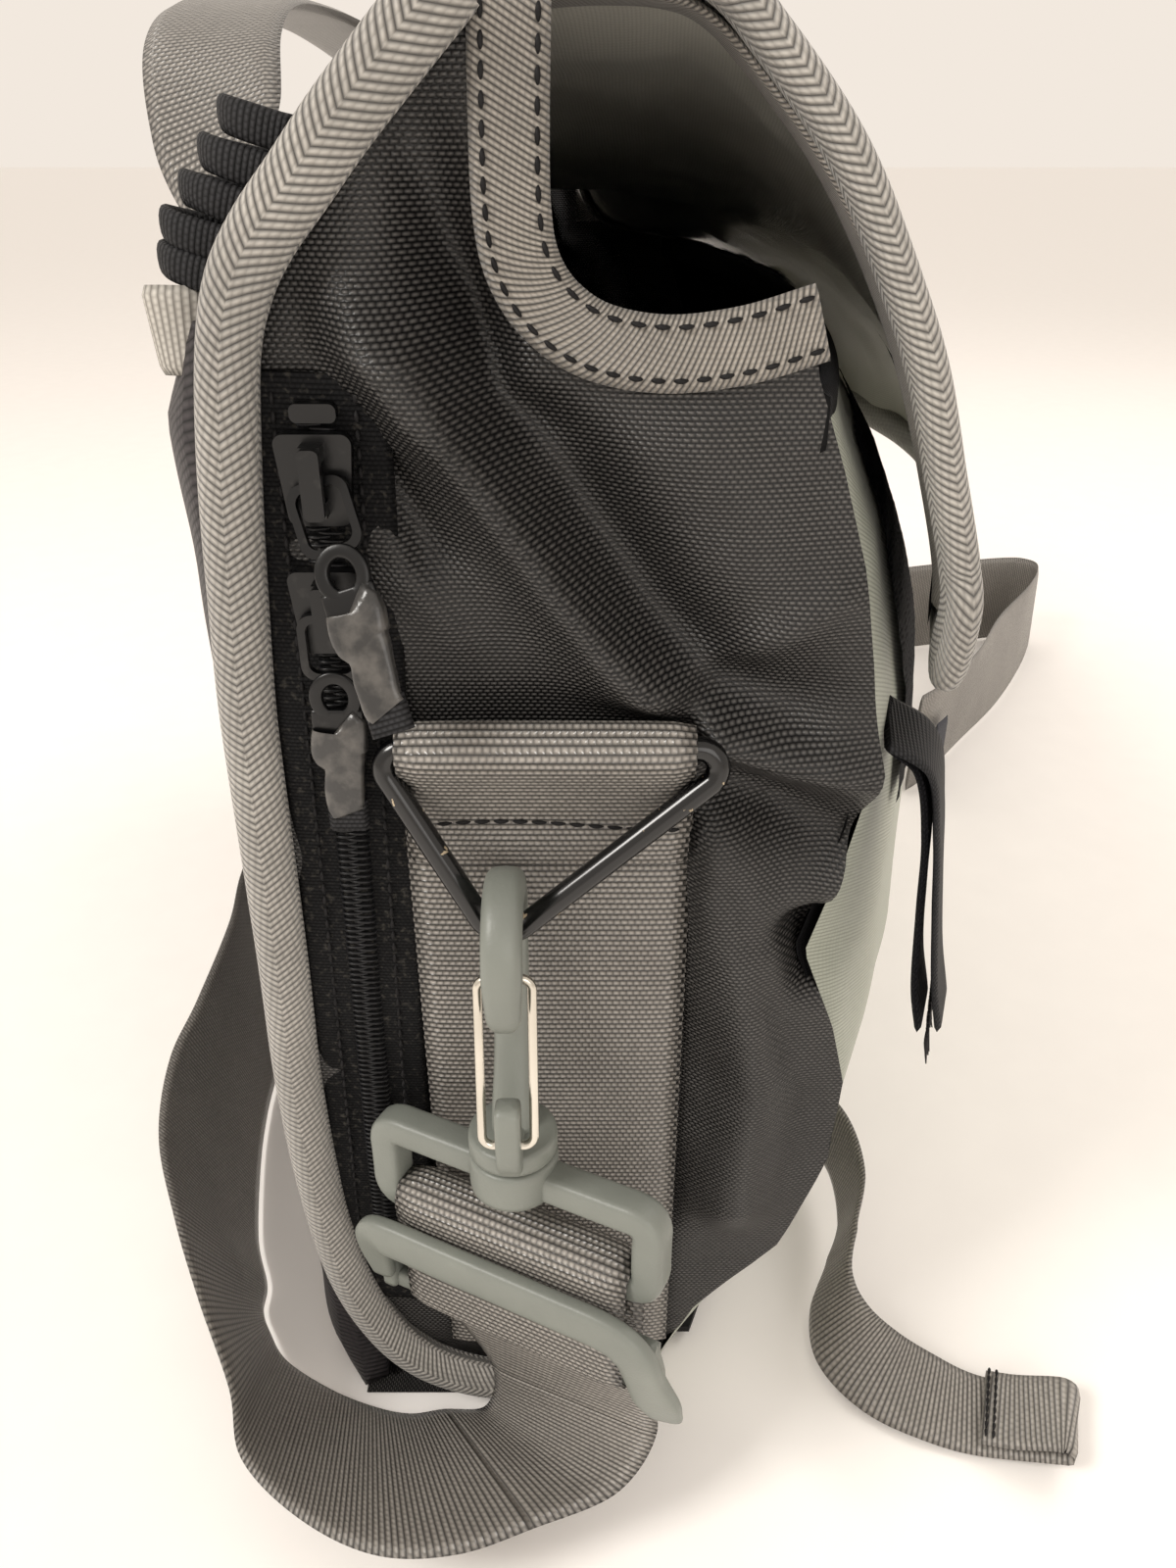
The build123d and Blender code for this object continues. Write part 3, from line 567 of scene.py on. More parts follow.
# ---- edge trim -------------------------------------------------------------------
def make_binding(end, far):
    """Herringbone tape rolled over the rear edge of an end, from the foot up to the flap."""
    places = ((-16, 8, 1), (0, 7.6, 1.5), (13, 7.8, 2), (26, 9.8, 2.5), (38, 15.5, 2), (46.5, 27, 1.5),
              (53, 47, 1), (56, 78, 1), (56.2, 108, 1), (55.4, 139, 1), (54.7, 167.7, 1), (54.0, 189, 1),
              (52.6, 206, 1.5), (50.6, 225, 2), (48.5, 239, 2.5), (45.6, 247.4, 3), (41.6, 253.6, 3),
              (36.3, 259.5, 3), (30.9, 265.5, 3), (24.5, 272, 3), (HINGE_Y + 2, 281, 2))
    pinched = 14
    points = [on_side(y, z, out) for y, z, out in places]
    sizes = [(1.0, 1.0)] * len(points)
    sizes[pinched] = (0.96, 0.84)
    line = smooth_line(rows_of(points, (0.25, 1.0, 0.45), sizes), 190)
    tangent = np.gradient(line[:, :3], axis=0)
    sideways = np.cross(tangent, (-1.0, 0.0, 0.05))
    line[:, 3:6] = sideways + (-0.28 * np.linalg.norm(sideways, axis=1))[:, None] * np.array((-1.0, 0, 0))
    for row in line:
        row[:3] += 0.5 * wrinkle(row[:3], 30, 3.0)
    sweep(f"edge_binding_tape_{end}", line, oval_section(9.0, 6.2, 2.6, 26), materials["herringbone"],
          "bag", "herringbone", round_uv=True, far=far, replaces=[f"edge_binding_{end}"])


def stitches(name, points, outward, slot, pitch, length, far=False):
    """A row of thread stitches that dip into the cloth at their ends."""
    total = np.linalg.norm(np.diff(np.array(points, float)[:, :3], axis=0), axis=1).sum()
    count = max(2, int(total / pitch))
    steps = 8
    line = smooth_line(points, count * steps + 1)
    pieces = []
    section = oval_section(0.75, 0.6, 2.0, 8)
    for k in range(count):
        middle = (k + 0.5) * steps
        span = 0.5 * steps * length / pitch
        at = np.linspace(middle - span, middle + span, 7)
        base = np.stack([np.interp(at, np.arange(len(line)), column) for column in line[:, :3].T], axis=1)
        dip = np.cos(np.linspace(-pi / 2, pi / 2, 7)) ** 0.5
        base += np.array(outward)[None] * (0.55 * dip - 0.25)[:, None]
        scales = np.repeat(np.clip(dip, 0.35, 1)[:, None], 2, axis=1)
        pieces.append(sweep(f"{name}_{k}", rows_of(base, np.cross(base[-1] - base[0], outward), scales),
                            section, materials["stitch"], "bag", slot, far=far))
    join(pieces, name)


def make_gusset_tape(end, far):
    """Grey tape folded over the gusset's cut edge, with two rows of stitches."""
    path = ((-31.5, 242.5), (-21.3, 239.6), (-10.7, 238.4), (-1.3, 240), (5.0, 244), (8.6, 249.5),
            (9.8, 256.4), (9.8, 267), (9.4, 279))
    middle = smooth_line([(y, z, 0.0) for y, z in path], 60)
    line = rows_of([on_side(y, z, 1.1) for y, z, _ in middle], (0, 0, 1))
    tangent = np.gradient(line[:, :3], axis=0)
    line[:, 3:6] = np.cross(tangent, (-1.0, 0, 0))
    for row in line:
        row[0] -= 0.5 * wrinkle(row[:3], 14, 8.0)
    sweep(f"gusset_tape_band_{end}", line, flat_section(10.2, 1.9), materials["grosgrain"], "bag",
          "grosgrain", far=far, replaces=[f"gusset_tape_{end}"])
    across = frames_along(line, False)[0]
    for row_name, offset in (("inner", 3.6), ("outer", -3.3)):
        row = line[:, :3] + across * offset + np.array((-0.95, 0, 0))
        stitches(f"tape_stitches_{row_name}_{end}", row, (-1.0, 0, 0), "grosgrain", 3.1, 2.1, far)


# ---- walls ------------------------------------------------------------------------
FRONT_TOP = 232.0
FRONT_BULGE = 42.0


def front_y(share, z):
    """Where the front panel is: seams at its two ends, pushed out by the load between them."""
    bow = (1 - np.clip(np.abs(share), 0, 1) ** 1.9) ** 0.9
    upright = 0.55 + 0.45 * np.sin(pi * np.clip((z + 25) / 250, 0, 1)) ** 0.7
    upright = upright * (1 - 0.18 * steps_between(z, 180, FRONT_TOP))
    at_end = np.exp(-(1 - np.abs(share)) * HALF_LENGTH / 9.0)
    seam = at_height(SMOOTH_SEAM, z) * (1 - at_end) + at_height(FRONT_SEAM, z) * at_end
    return seam - FRONT_BULGE * bow * upright


def make_front():
    """The bowed sage front and its inside, coloured near-black as painted shade of the bag's interior."""
    heights = np.linspace(1.2, FRONT_TOP, 96)
    share = np.linspace(-1, 1, 150)
    share = np.sign(share) * np.abs(share) ** 0.9
    for name, inner, slot, replaced in (("front_cloth", 0.0, "sage_cloth", ["front_panel"]),
                                        ("front_inside", 1.6, "lining", [])):
        grid = np.zeros((len(heights), len(share), 3))
        for i, z in enumerate(heights):
            x = share * (-gusset_x(z) - 0.4 - inner)
            y = front_y(share, z) + inner
            sag = np.array([1.6 * wrinkle((a, z, 0), 46, 2.0) + 0.7 * wrinkle((a, z * 0.6, 0), 19, 4.0)
                            for a in x])
            sag += 2.4 * np.exp(-((z - 118) / 9) ** 2) * np.exp(-((np.abs(x) - 172) / 14) ** 2)
            free = np.clip((1 - np.abs(share)) * 6, 0, 1)
            grid[i] = np.stack([x, y + sag * free, np.full_like(x, z)], axis=1)
        uv = np.stack([grid[:, :, 0], grid[:, :, 2]], axis=2)
        piece = sheet_mesh(name, grid[:, ::-1], materials[slot], "bag", slot, uv=uv[:, ::-1],
                           replaces=replaced)
    top = [(187 * t, float(front_y(np.array(t), FRONT_TOP)) + 0.8, FRONT_TOP - 3)
           for t in np.linspace(-1, 1, 60)]
    sweep("front_hem", smooth_line(rows_of(top, (0, 0, 1)), 120), flat_section(9, 3.0),
          materials["black_webbing"], "bag", "black_webbing")
    for sign, end in SIDES:
        name = f"front_loop_patch_{end}"
        x = np.linspace(82, 158, 30) * sign
        z = np.linspace(152, 222, 30)
        xs, zs = np.meshgrid(x[::-sign], z)
        ys = front_y(xs / HALF_LENGTH, zs) - 1.1 - 0.2 * np.sin(xs * 0.9) * np.sin(zs * 0.9)
        grid = np.stack([xs, ys, zs], axis=2)
        piece = sheet_mesh(name, grid[:, ::-1], materials["hook_tape"], "bag", "hook_tape",
                           replaces=["front_loop_patches"] if sign < 0 else [])


def make_back():
    """Padded back: outer cloth swollen by its foam, and the lining on its inside, coloured near-black as
    painted shade of the bag's interior.
    """
    rows, columns = 84, 120
    heights = np.linspace(0.8, PANEL_TOP, rows)
    share = np.linspace(-1, 1, columns)
    outer = np.zeros((rows, columns, 3))
    inner = np.zeros((rows, columns, 3))
    for i, z in enumerate(heights):
        x = share * (-gusset_x(z) - 0.5)
        rim = np.minimum((1 - np.abs(share)) * 12, 1) * min(1.0, (PANEL_TOP - z) / 16 + 0.05, z / 14 + 0.1)
        swell = np.sqrt(np.clip(rim, 0, 1))
        for j, a in enumerate(x):
            lump = 1.5 * wrinkle((a, 0, z), 55, 1.0) + 0.5 * wrinkle((a, 0, z), 18, 6.0)
            out = swell[j] * (PAD_SWELL + lump)
            outer[i, j] = (a, BACK_Y - 1.5 + out, z)
            inner[i, j] = (a * 0.985, BACK_Y - 6.5 - 1.5 * swell[j] - 0.6 * swell[j] * lump, z)
    grid = np.concatenate([outer, inner[:, ::-1]], axis=1)
    faces = grid_faces(rows, 2 * columns, close_columns=True)
    for start in (0, (rows - 1) * 2 * columns):
        for j in range(columns - 1):
            quad = (start + j, start + j + 1, start + 2 * columns - 2 - j, start + 2 * columns - 1 - j)
            faces.append(quad[::-1] if start == 0 else quad)
    uv = np.stack([grid[:, :, 0], grid[:, :, 2]], axis=2)
    pad = build_mesh("back_pad", grid, faces, uv, materials["black_nylon"], "bag", "black_nylon",
                     replaces=["back_panel", "back_foam"])
    lining = sheet_mesh("back_inside", inner[:, ::-1] - np.array((0, 1.4, 0)), materials["lining"], "bag",
                        "lining", replaces=["back_lining"])


def make_base():
    """Coated base cloth over the stiff board."""
    xs, ys = np.meshgrid(np.linspace(-BASE_HALF, BASE_HALF, 90), np.linspace(0, 1, 26))
    front = front_y(xs / BASE_HALF, np.full_like(xs, 1.0))
    y = BACK_Y - 2 + (front + 0.6 - BACK_Y + 2) * ys
    rim = np.clip(np.minimum.reduce([(BASE_HALF - np.abs(xs)) / 10, ys * 8, (1 - ys) * 8]), 0, 1)
    z = 0.5 + 0.5 * np.array([[abs(wrinkle((a, b, 0), 24)) for a, b in zip(row, other)]
                              for row, other in zip(xs, y)]) * rim
    piece = sheet_mesh("base_cloth", np.stack([xs, y, z], axis=2), materials["ballistic_nylon"], "bag",
                       "ballistic_nylon", replaces=["base_panel"])
    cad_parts["base_board"].material_slots[0].material = materials["board"]


# ---- flap ------------------------------------------------------------------------
# (y, z) from the back panel's top to the hem: at the near edge, along the middle and at the far edge.
FLAP_EDGE = ((BACK_Y - 4.5, 243), (46.5, 254), (36, 266.5), (23, 277), (HINGE_Y, 282.5), (0, 284.5),
             (-14, 283), (-24.5, 274), (-36, 259.5), (-47, 238), (-54.5, 215), (-58, 200), (-57.5, 190))
FLAP_MIDDLE = ((BACK_Y - 2, 243), (50, 249), (42, 254), (30, 257), (HINGE_Y, 257), (-4, 256), (-24, 253.5),
               (-46, 247), (-64, 237), (-79, 224), (-90, 210), (-96, 199), (-98, 188))
FLAP_FAR = ((BACK_Y - 4.5, 243), (46.5, 254), (36, 266.5), (23, 277), (HINGE_Y, 280), (6, 269), (2, 254),
            (-3, 244), (-11, 239.5), (-30, 236.5), (-48, 232), (-57.5, 213), (-58, 190))


def flap_profile(x, count, depth=0.0):
    """Rows of (y, z) from the back panel's top over the hinge to the hem, a depth below the cloth."""
    bow = (1 - min(1.0, abs(x) / HALF_LENGTH) ** 1.6) ** 1.2
    edge = smooth_line([(y, z, 0) for y, z in (FLAP_FAR if x > 0 else FLAP_EDGE)], count)
    middle = smooth_line([(y, z, 0) for y, z in FLAP_MIDDLE], count)
    profile = edge + (middle - edge) * bow
    ahead = np.gradient(profile[:, :2], axis=0)
    ahead /= np.linalg.norm(ahead, axis=1, keepdims=True)
    profile[:, 0] -= ahead[:, 1] * depth
    profile[:, 1] += ahead[:, 0] * depth
    return profile[:, :2]


def bend_over_hinge(piece):
    """Bake a piece's placement into its mesh; the cloth is not split at the hinge between the bag and the
    flap.
    """
    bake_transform(piece)


def make_flap():
    """Outer cloth, coated lining, patches and rolled binding of the flap."""
    rows, columns = 110, 150
    xs = np.linspace(-1, 1, columns) * (FLAP_HALF - 3.5)
    for name, depth, slot, replaced in (
            ("flap_cloth", 0.0, "black_nylon", ["crown_panel", "flap_outer"]),
            ("flap_inside", 1.5, "coated_lining", ["flap_lining"])):
        grid = np.zeros((rows, columns, 3))
        for j, x in enumerate(xs):
            profile = flap_profile(x, rows, depth)
            for i, (y, z) in enumerate(profile):
                free = min(1.0, i / 30) * min(1.0, (FLAP_HALF - abs(x)) / 12 + 0.15)
                lump = 1.5 * wrinkle((x, y, z), 42, 7.0) + 0.9 * wrinkle((x, y, z), 17, 9.0)
                if slot == "coated_lining":
                    lump += 0.4 * wrinkle((x, y, z), 9, 1.0)
                grid[i, j] = (x, y, z) + np.array((0, -0.6, 0.8)) * lump * free
        uv = grid_uv(grid)
        if slot == "black_nylon":
            grid, uv = grid[:, ::-1], uv[:, ::-1]
        piece = sheet_mesh(name, grid, materials[slot], None, slot, uv=uv, replaces=replaced)
        bend_over_hinge(piece)
    make_flap_binding()
    make_flap_patches()


def make_flap_binding():
    """Herringbone tape along both side edges and the hem, with rounded corners."""
    points, across = [], []
    edges = []
    for sign, _ in SIDES:
        profile = flap_profile(sign * FLAP_HALF, 110)
        edges.append(profile[int(np.argmax(profile[:, 0] < HINGE_Y + 2)):-3:4])
    for y, z in edges[0]:
        points.append((-FLAP_HALF + 2.0, y, z))
        across.append((1.0, 0, 0))
    for x in np.linspace(-FLAP_HALF + 8, FLAP_HALF - 8, 40):
        y, z = flap_profile(x, 60)[-1]
        points.append((x, y, z - 0.5 + 0.6 * sin(x / 23)))
        across.append((0, 0.1, 1.0))
    for y, z in edges[1][::-1]:
        points.append((FLAP_HALF - 2.0, y, z))
        across.append((-1.0, 0, 0))
    line = smooth_line(rows_of(points, across), 620)
    for row in line:
        row[:3] += 0.55 * wrinkle(row[:3], 22, 4.0)
    piece = sweep("flap_binding_tape", line, oval_section(10.0, 5.6, 2.6, 24), materials["herringbone"],
                  None, "herringbone", round_uv=True, replaces=["flap_binding"])
    bend_over_hinge(piece)
    for sign, end in SIDES:
        profile = flap_profile(sign * (FLAP_HALF - 10), 110, 2.6)
        rows = [(sign * (FLAP_HALF - 9.5), y, z) for y, z in profile[30:-4:3]]
        leaf = sweep(f"flap_binding_leaf_{end}", smooth_line(rows_of(rows, (1.0, 0, 0)), 130),
                     flat_section(11.5, 1.2), materials["grosgrain"], None, "herringbone")
        bend_over_hinge(leaf)


def make_flap_patches():
    """Hook patches sewn under the flap, near both ends."""
    for sign, end in SIDES:
        rows = 40
        xs = np.linspace(74, 166, 40) * sign
        grid = np.zeros((rows, len(xs), 3))
        for j, x in enumerate(xs):
            profile = flap_profile(x, 200, 3.6)
            kept = profile[(profile[:, 1] < 228) & (profile[:, 1] > 190) & (profile[:, 0] < 0)]
            picked = kept[np.linspace(0, len(kept) - 1, rows).astype(int)]
            grid[:, j, 0] = x
            grid[:, j, 1] = picked[:, 0]
            grid[:, j, 2] = picked[:, 1]
        if sign > 0:
            grid = grid[:, ::-1]
        patch = sheet_mesh(f"flap_hook_patch_{end}", grid[:, ::-1], materials["hook_tape"], "flap",
                           "hook_tape", replaces=["flap_hook_patches"] if sign < 0 else [])


# ---- zip -------------------------------------------------------------------------
ZIP_TOP = (38.0, 232.0)
ZIP_BOTTOM = (43.3, 50.0)
SLIDER_Z = {"upper": 222.0, "lower": 202.0}
PULLER_LEAN = {"upper": radians(18.0), "lower": 0.0}
PULLER_TILT = {"upper": radians(22.0), "lower": radians(1.5)}
TOOTH_PITCH = 1.25
STITCH_ROW = 5.8                     # zip's middle to a row of stitches


def zip_y(z):
    """Where the middle of the slanting zip is at a height."""
    return ZIP_TOP[0] + (ZIP_TOP[1] - z) * (ZIP_BOTTOM[0] - ZIP_TOP[0]) / (ZIP_TOP[1] - ZIP_BOTTOM[1])


def make_zip():
    """Dusty woven tape and two rows of interlocked coil."""
    points = [on_side(zip_y(z) + (0.8 if z < 40 else 0), z, 0.35 + 0.35 * sin(z / 9))
              for z in range(236, 28, -8)]
    line = smooth_line(rows_of(points, (0, 1.0, 0)), 120)
    tape = sweep("zip_cloth_band", line, flat_section(21.0, 0.9, 17), materials["zip_cloth"], "bag",
                 "zip_cloth", replaces=["zip_tape"])
    teeth = []
    section = oval_section(1.0, 1.0, 2.2, 8)
    for z in np.arange(53.5, 229, TOOTH_PITCH):
        for hand, offset in ((-1, 0), (1, 0.62)):
            height = z + offset
            middle = zip_y(height)
            ends = [on_side(middle + hand * 2.7, height, 0.8),
                    on_side(middle + hand * 2.2, height, 1.75),
                    on_side(middle + hand * 0.2, height + 0.1, 1.9),
                    on_side(middle - hand * 0.7, height + 0.1, 1.5)]
            teeth.append(smooth_line(rows_of(ends, (0, 0, 1.0)), 6))
    points, faces, uvs = [], [], []
    for line in teeth:
        across, out = frames_along(line, False)
        base = len(points)
        for row, a, b in zip(line, across, out):
            for u, v in section:
                points.append(row[:3] + a * u * 0.5 + b * v * 0.5)
                uvs.append((u, v))
        faces += [tuple(base + i for i in face)
                  for face in grid_faces(len(line), len(section), close_columns=True)]
    build_mesh("zip_coil_teeth", points, faces, uvs, materials["zip_coil"], "bag", "zip_coil",
               replaces=["zip_coil"])
    for k, hand in enumerate((-1, 1)):
        row = [on_side(zip_y(z) + hand * STITCH_ROW, z, 1.0) for z in range(234, 44, -10)]
        stitches(f"zip_stitches_{k}", row, (-1.0, 0, 0), "zip_cloth", 2.6, 1.9)


def puller_place(which, across, along, out):
    """A point of a puller from its pivot (across, up along it, and outward), and its width's way."""
    lean, tilt = PULLER_LEAN[which], PULLER_TILT[which]
    z = SLIDER_Z[which]
    side_x, outward = np.array((0, -1.0, 0)), np.array((-cos(radians(3)), 0, -sin(radians(3))))
    side_y = np.cross(outward, side_x)
    pivot = np.array(on_side(zip_y(z), z)) - side_y * 0.2 + outward * 5.3
    width_way = side_x * cos(lean) + side_y * sin(lean)
    up_way = (side_y * cos(lean) - side_x * sin(lean)) * cos(tilt) - outward * sin(tilt)
    return pivot + width_way * across + up_way * along + np.cross(width_way, up_way) * out, width_way


def make_puller(which):
    """Tab with its hole, shrunk clear sleeve and short webbing end."""
    body = f"zip_puller_{which}"
    width_way = puller_place(which, 0, 0, 0)[1]
    profile = ((-17.9, 0.97, 0.9), (-18.2, 1.0, 1.0), (-20.0, 1.03, 1.1), (-22.2, 1.0, 1.05),
               (-24.0, 0.85, 0.95), (-25.6, 0.74, 0.8), (-29.0, 0.73, 0.75), (-32.0, 0.72, 0.72),
               (-33.2, 0.71, 0.7))
    points = [puller_place(which, 0.25 * sin(k * 1.7), along, 0.35)[0]
              for k, (along, _, _) in enumerate(profile)]
    line = smooth_line(rows_of(points, width_way, [(a, b) for _, a, b in profile]), 44)
    for row in line:
        row[6] *= 1 + 0.05 * wrinkle(row[:3], 3.0)
    sweep(f"sleeve_{which}", line, oval_section(8.6, 3.3, 4.0, 28), materials["clear_sleeve"], body,
          "clear_sleeve", replaces=[f"puller_sleeve_{which}"])
    points = [puller_place(which, 0, along, 0.3)[0] for along in (-31, -33, -35, -36.4)]
    sweep(f"puller_webbing_{which}", smooth_line(rows_of(points, width_way), 10), flat_section(6.6, 2.0),
          materials["black_webbing"], body, "black_webbing", replaces=[f"puller_end_{which}"])
    turns = np.linspace(0, 2 * pi, 24, endpoint=False)
    ring_points = [puller_place(which, 3.0 * cos(a), -12.9 + 3.4 * sin(a), 0.3)[0] for a in turns]
    outward = np.cross(width_way, puller_place(which, 0, 1, 0)[0] - puller_place(which, 0, 0, 0)[0])
    loop = sweep(f"tab_eye_{which}", smooth_line(rows_of(ring_points, outward), 40, closed=True),
                 oval_section(1.5, 2.1, 4.0, 14), materials["black_metal"], body, "black_metal", closed=True,
                 replaces=[f"puller_tab_{which}"])
    plate_points = [puller_place(which, 0, along, 0.3)[0] for along in (-14.9, -16.0, -18.5, -20.0)]
    scales = ((0.97, 0.9), (1.0, 1.0), (1.0, 1.0), (0.9, 0.9))
    plate = sweep(f"tab_plate_{which}", smooth_line(rows_of(plate_points, width_way, scales), 12),
                  oval_section(8.1, 1.5, 6.0, 20), materials["black_metal"], body, "black_metal")
    join([loop, plate], f"tab_{which}")


# ---- webbing sewn on the gussets ------------------------------------------------------
def make_anchor(end, far):
    """Webbing strip whose top is folded over the ring's bar and stitched."""
    path = ((-184.9, 155.5, 0.965), (-186.1, 160, 0.97), (-187.2, 166, 0.97), (-190.6, 173, 0.965),
            (-194.2, 178.2, 0.96), (-194.3, 181.6, 0.96), (-191.0, 183.9, 0.96), (-187.9, 181.6, 0.965),
            (-187.0, 178, 0.97), (-185.4, 170, 0.98), (-183.7, 160, 1.0), (-183.0, 140, 1.0),
            (-181.9, 110, 1.0), (-180.5, 80, 1.0), (-178.8, 50, 1.0), (-177.6, 22, 1.0))
    points = [(x, 6.6, z) for x, z, _ in path]
    scales = [(share, 1.0) for _, _, share in path]
    line = smooth_line(rows_of(points, (0, -1.0, 0), scales), 240)
    piece = sweep(f"anchor_strip_{end}", line, flat_section(WEBBING_WIDTH, WEBBING_THICK, WEBBING_STEPS),
                  materials["webbing"], "bag", "webbing", far=far,
                  replaces=[f"anchor_webbing_{end}", f"anchor_loop_{end}"])
    row = [(-188.1, y, 164.4 + 0.8 * sin(y / 9)) for y in np.linspace(-15.5, 28.5, 12)]
    stitches(f"anchor_stitches_{end}", row, (-0.94, 0, 0.34), "webbing", 3.0, 2.3, far)


# ---- plastic and wire hardware ----------------------------------------------------------
def make_hook(end, far):
    """Moulded hook: spine, round eye, nose, swivel disc and the gate's lug."""
    body, eye = f"hook_{end}", (-200.3, 149.3)
    radius = 9.5
    path = [(-199.6, 108.5, 1.15, 1.25), (-197.6, 113, 1.1, 1.2), (-194.6, 119, 1.0, 1.1),
            (-192.0, 126, 0.95, 1.05), (-190.9, 136, 0.92, 1.0)]
    for turn in np.linspace(0, 180, 9):
        swell = 0.92 + 0.16 * sin(radians(turn))
        path.append((eye[0] + radius * cos(radians(turn)), eye[1] + radius * sin(radians(turn)), swell, 1.06))
    path += [(-209.7, 145, 0.9, 0.98), (-209.1, 141.2, 0.8, 0.9), (-208.8, 139.2, 0.5, 0.62)]
    points = [(x, SWIVEL[1], z) for x, z, _, _ in path]
    line = smooth_line(rows_of(points, (0, 1.0, 0), [(b, a) for _, _, a, b in path]), 90)
    hook = sweep(f"hook_bar_{end}", line, oval_section(6.2, 6.0, 3.0, 24), materials["sage_plastic"], body,
                 "sage_plastic", far=far, replaces=[f"snap_hook_{end}"])
    disc = [(105.2, 0.90), (105.6, 0.985), (106.4, 1.0), (108.4, 1.0), (109.2, 0.985), (109.6, 0.9),
            (109.8, 0.4)]
    points = [(SWIVEL[0], SWIVEL[1], z) for z, _ in disc]
    cap = sweep(f"hook_disc_{end}", rows_of(points, (1.0, 0, 0), [(s, s) for _, s in disc]),
                oval_section(16.0, 16.0, 2.0, 40), materials["sage_plastic"], body, "sage_plastic", far=far)
    lug = [((-207.2, 108.6), (1.0, 0.9)), ((-208.7, 110.6), (1.0, 1.05)), ((-209.6, 113.5), (1.0, 1.1)),
           ((-209.7, 120.5), (1.0, 1.05)), ((-209.5, 122.6), (0.96, 0.95)), ((-209.4, 123.4), (0.7, 0.6))]
    points = [(x, SWIVEL[1], z) for (x, z), _ in lug]
    lug_piece = sweep(f"hook_lug_{end}", smooth_line(rows_of(points, (0, 1.0, 0), [s for _, s in lug]), 24),
                      oval_section(4.4, 5.6, 5.0, 24), materials["sage_plastic"], body, "sage_plastic",
                      far=far)
    bridge = [(-200.5, 109.6), (-204.0, 109.8), (-208.0, 111.0)]
    points = [(x, SWIVEL[1], z) for x, z in bridge]
    bridge_piece = sweep(f"hook_bridge_{end}", smooth_line(rows_of(points, (0, 1.0, 0)), 8),
                         oval_section(4.4, 3.2, 4.0, 16), materials["sage_plastic"], body, "sage_plastic",
                         far=far)
    join([hook, cap, lug_piece, bridge_piece], f"hook_body_{end}")


def turned(across, depth, z):
    """A point in the frame of the strap loop, which is turned on the swivel."""
    return np.array((SWIVEL[0], SWIVEL[1], 0)) + TURNED_X * across + TURNED_Z * depth + np.array((0, 0, z))


def bar_shape(name, places, section, body, far, across, count, closed=False):
    """A plastic bar through places in the turned frame."""
    points = [turned(a, d, z) for a, d, z in places]
    return sweep(name, smooth_line(rows_of(points, across), count, closed=closed), section,
                 materials["sage_plastic"], body, "sage_plastic", closed=closed, far=far)


def make_strap_loop(end, far):
    """Rectangular loop with rounded corners and the barrel under the hook's disc."""
    body = f"loop_{end}"
    half, low, high, corner = 27.4, 83.2, 99.8, 3.0
    outline = []
    for (a, z), start in (((half - corner, high - corner), 0), ((-half + corner, high - corner), 90),
                          ((-half + corner, low + corner), 180), ((half - corner, low + corner), 270)):
        for turn in (0, 45, 90):
            angle = radians(start + turn)
            outline.append((a + corner * cos(angle), 0, z + corner * sin(angle)))
    dense = []
    for a, b in zip(outline, outline[1:] + outline[:1]):
        steps = max(1, int(np.linalg.norm(np.subtract(b, a)) / 2.5))
        dense += [tuple(np.array(a) + (np.array(b) - np.array(a)) * k / steps) for k in range(steps)]
    ring_piece = bar_shape(f"loop_frame_{end}", dense, oval_section(6.4, 6.2, 4.2, 24), body, far,
                           TURNED_Z, 150, closed=True)
    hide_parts(f"strap_loop_{end}")
    barrel = [(96.8, 0.9), (97.2, 0.985), (98.2, 1.0), (103.4, 1.0), (104.4, 0.985), (104.8, 0.92)]
    points = [(SWIVEL[0], SWIVEL[1], z) for z, _ in barrel]
    barrel_piece = sweep(f"loop_barrel_{end}", rows_of(points, (1.0, 0, 0), [(s, s) for _, s in barrel]),
                         oval_section(16.2, 16.2, 2.0, 40), materials["sage_plastic"], body, "sage_plastic",
                         far=far)
    join([ring_piece, barrel_piece], f"loop_body_{end}")


def make_strap_slider(end, far):
    """Three-bar slider: a broad front bar drawn out at both ends into arms, one with a flared tail."""
    body = f"slider_{end}"
    arch = ((-29.2, 4.2, 62), (-29.6, 5.6, 70), (-28.2, 6.8, 75.0), (-24, 7.3, 76.6), (-10, 7.3, 76.4),
            (10, 7.3, 76.2), (22, 7.3, 75.8), (27.2, 7.2, 72.8), (29.4, 6.0, 66), (31.2, 4.6, 59),
            (32.8, 3.6, 54.2))
    scales = ((0.6, 0.7), (0.85, 0.9), (1, 1), (1, 1), (1, 1), (1, 1), (1, 1), (1, 1), (1.0, 0.95),
              (1.15, 0.8), (0.85, 0.55))
    points = [turned(a, d, z) for a, d, z in arch]
    line = smooth_line(rows_of(points, TURNED_Z, scales), 110)
    tangent = np.gradient(line[:, :3], axis=0)
    line[:, 3:6] = np.cross(tangent, TURNED_Z)
    pieces = [sweep(f"slider_arch_{end}", line, oval_section(8.4, 3.8, 3.4, 28), materials["sage_plastic"],
                    body, "sage_plastic", far=far, replaces=[f"strap_slider_{end}"])]
    for k, z in enumerate((66.4, 57.4)):
        pieces.append(bar_shape(f"slider_bar_{k}_{end}", ((-29, 0.6, z), (0, 0.3, z), (29.5, 0.6, z)),
                                oval_section(3.2, 4.4, 3.4, 16), body, far, TURNED_Z, 30))
    for k, hand in enumerate((-1, 1)):
        pieces.append(bar_shape(f"slider_arm_{k}_{end}", ((hand * 29, 5.6, 73), (hand * 29, 3.0, 67),
                                                          (hand * 29.2, 1.2, 61), (hand * 29.4, 0.8, 56.2)),
                                oval_section(3.6, 4.6, 3.4, 16), body, far, TURNED_X, 24))
    join(pieces, f"slider_body_{end}")


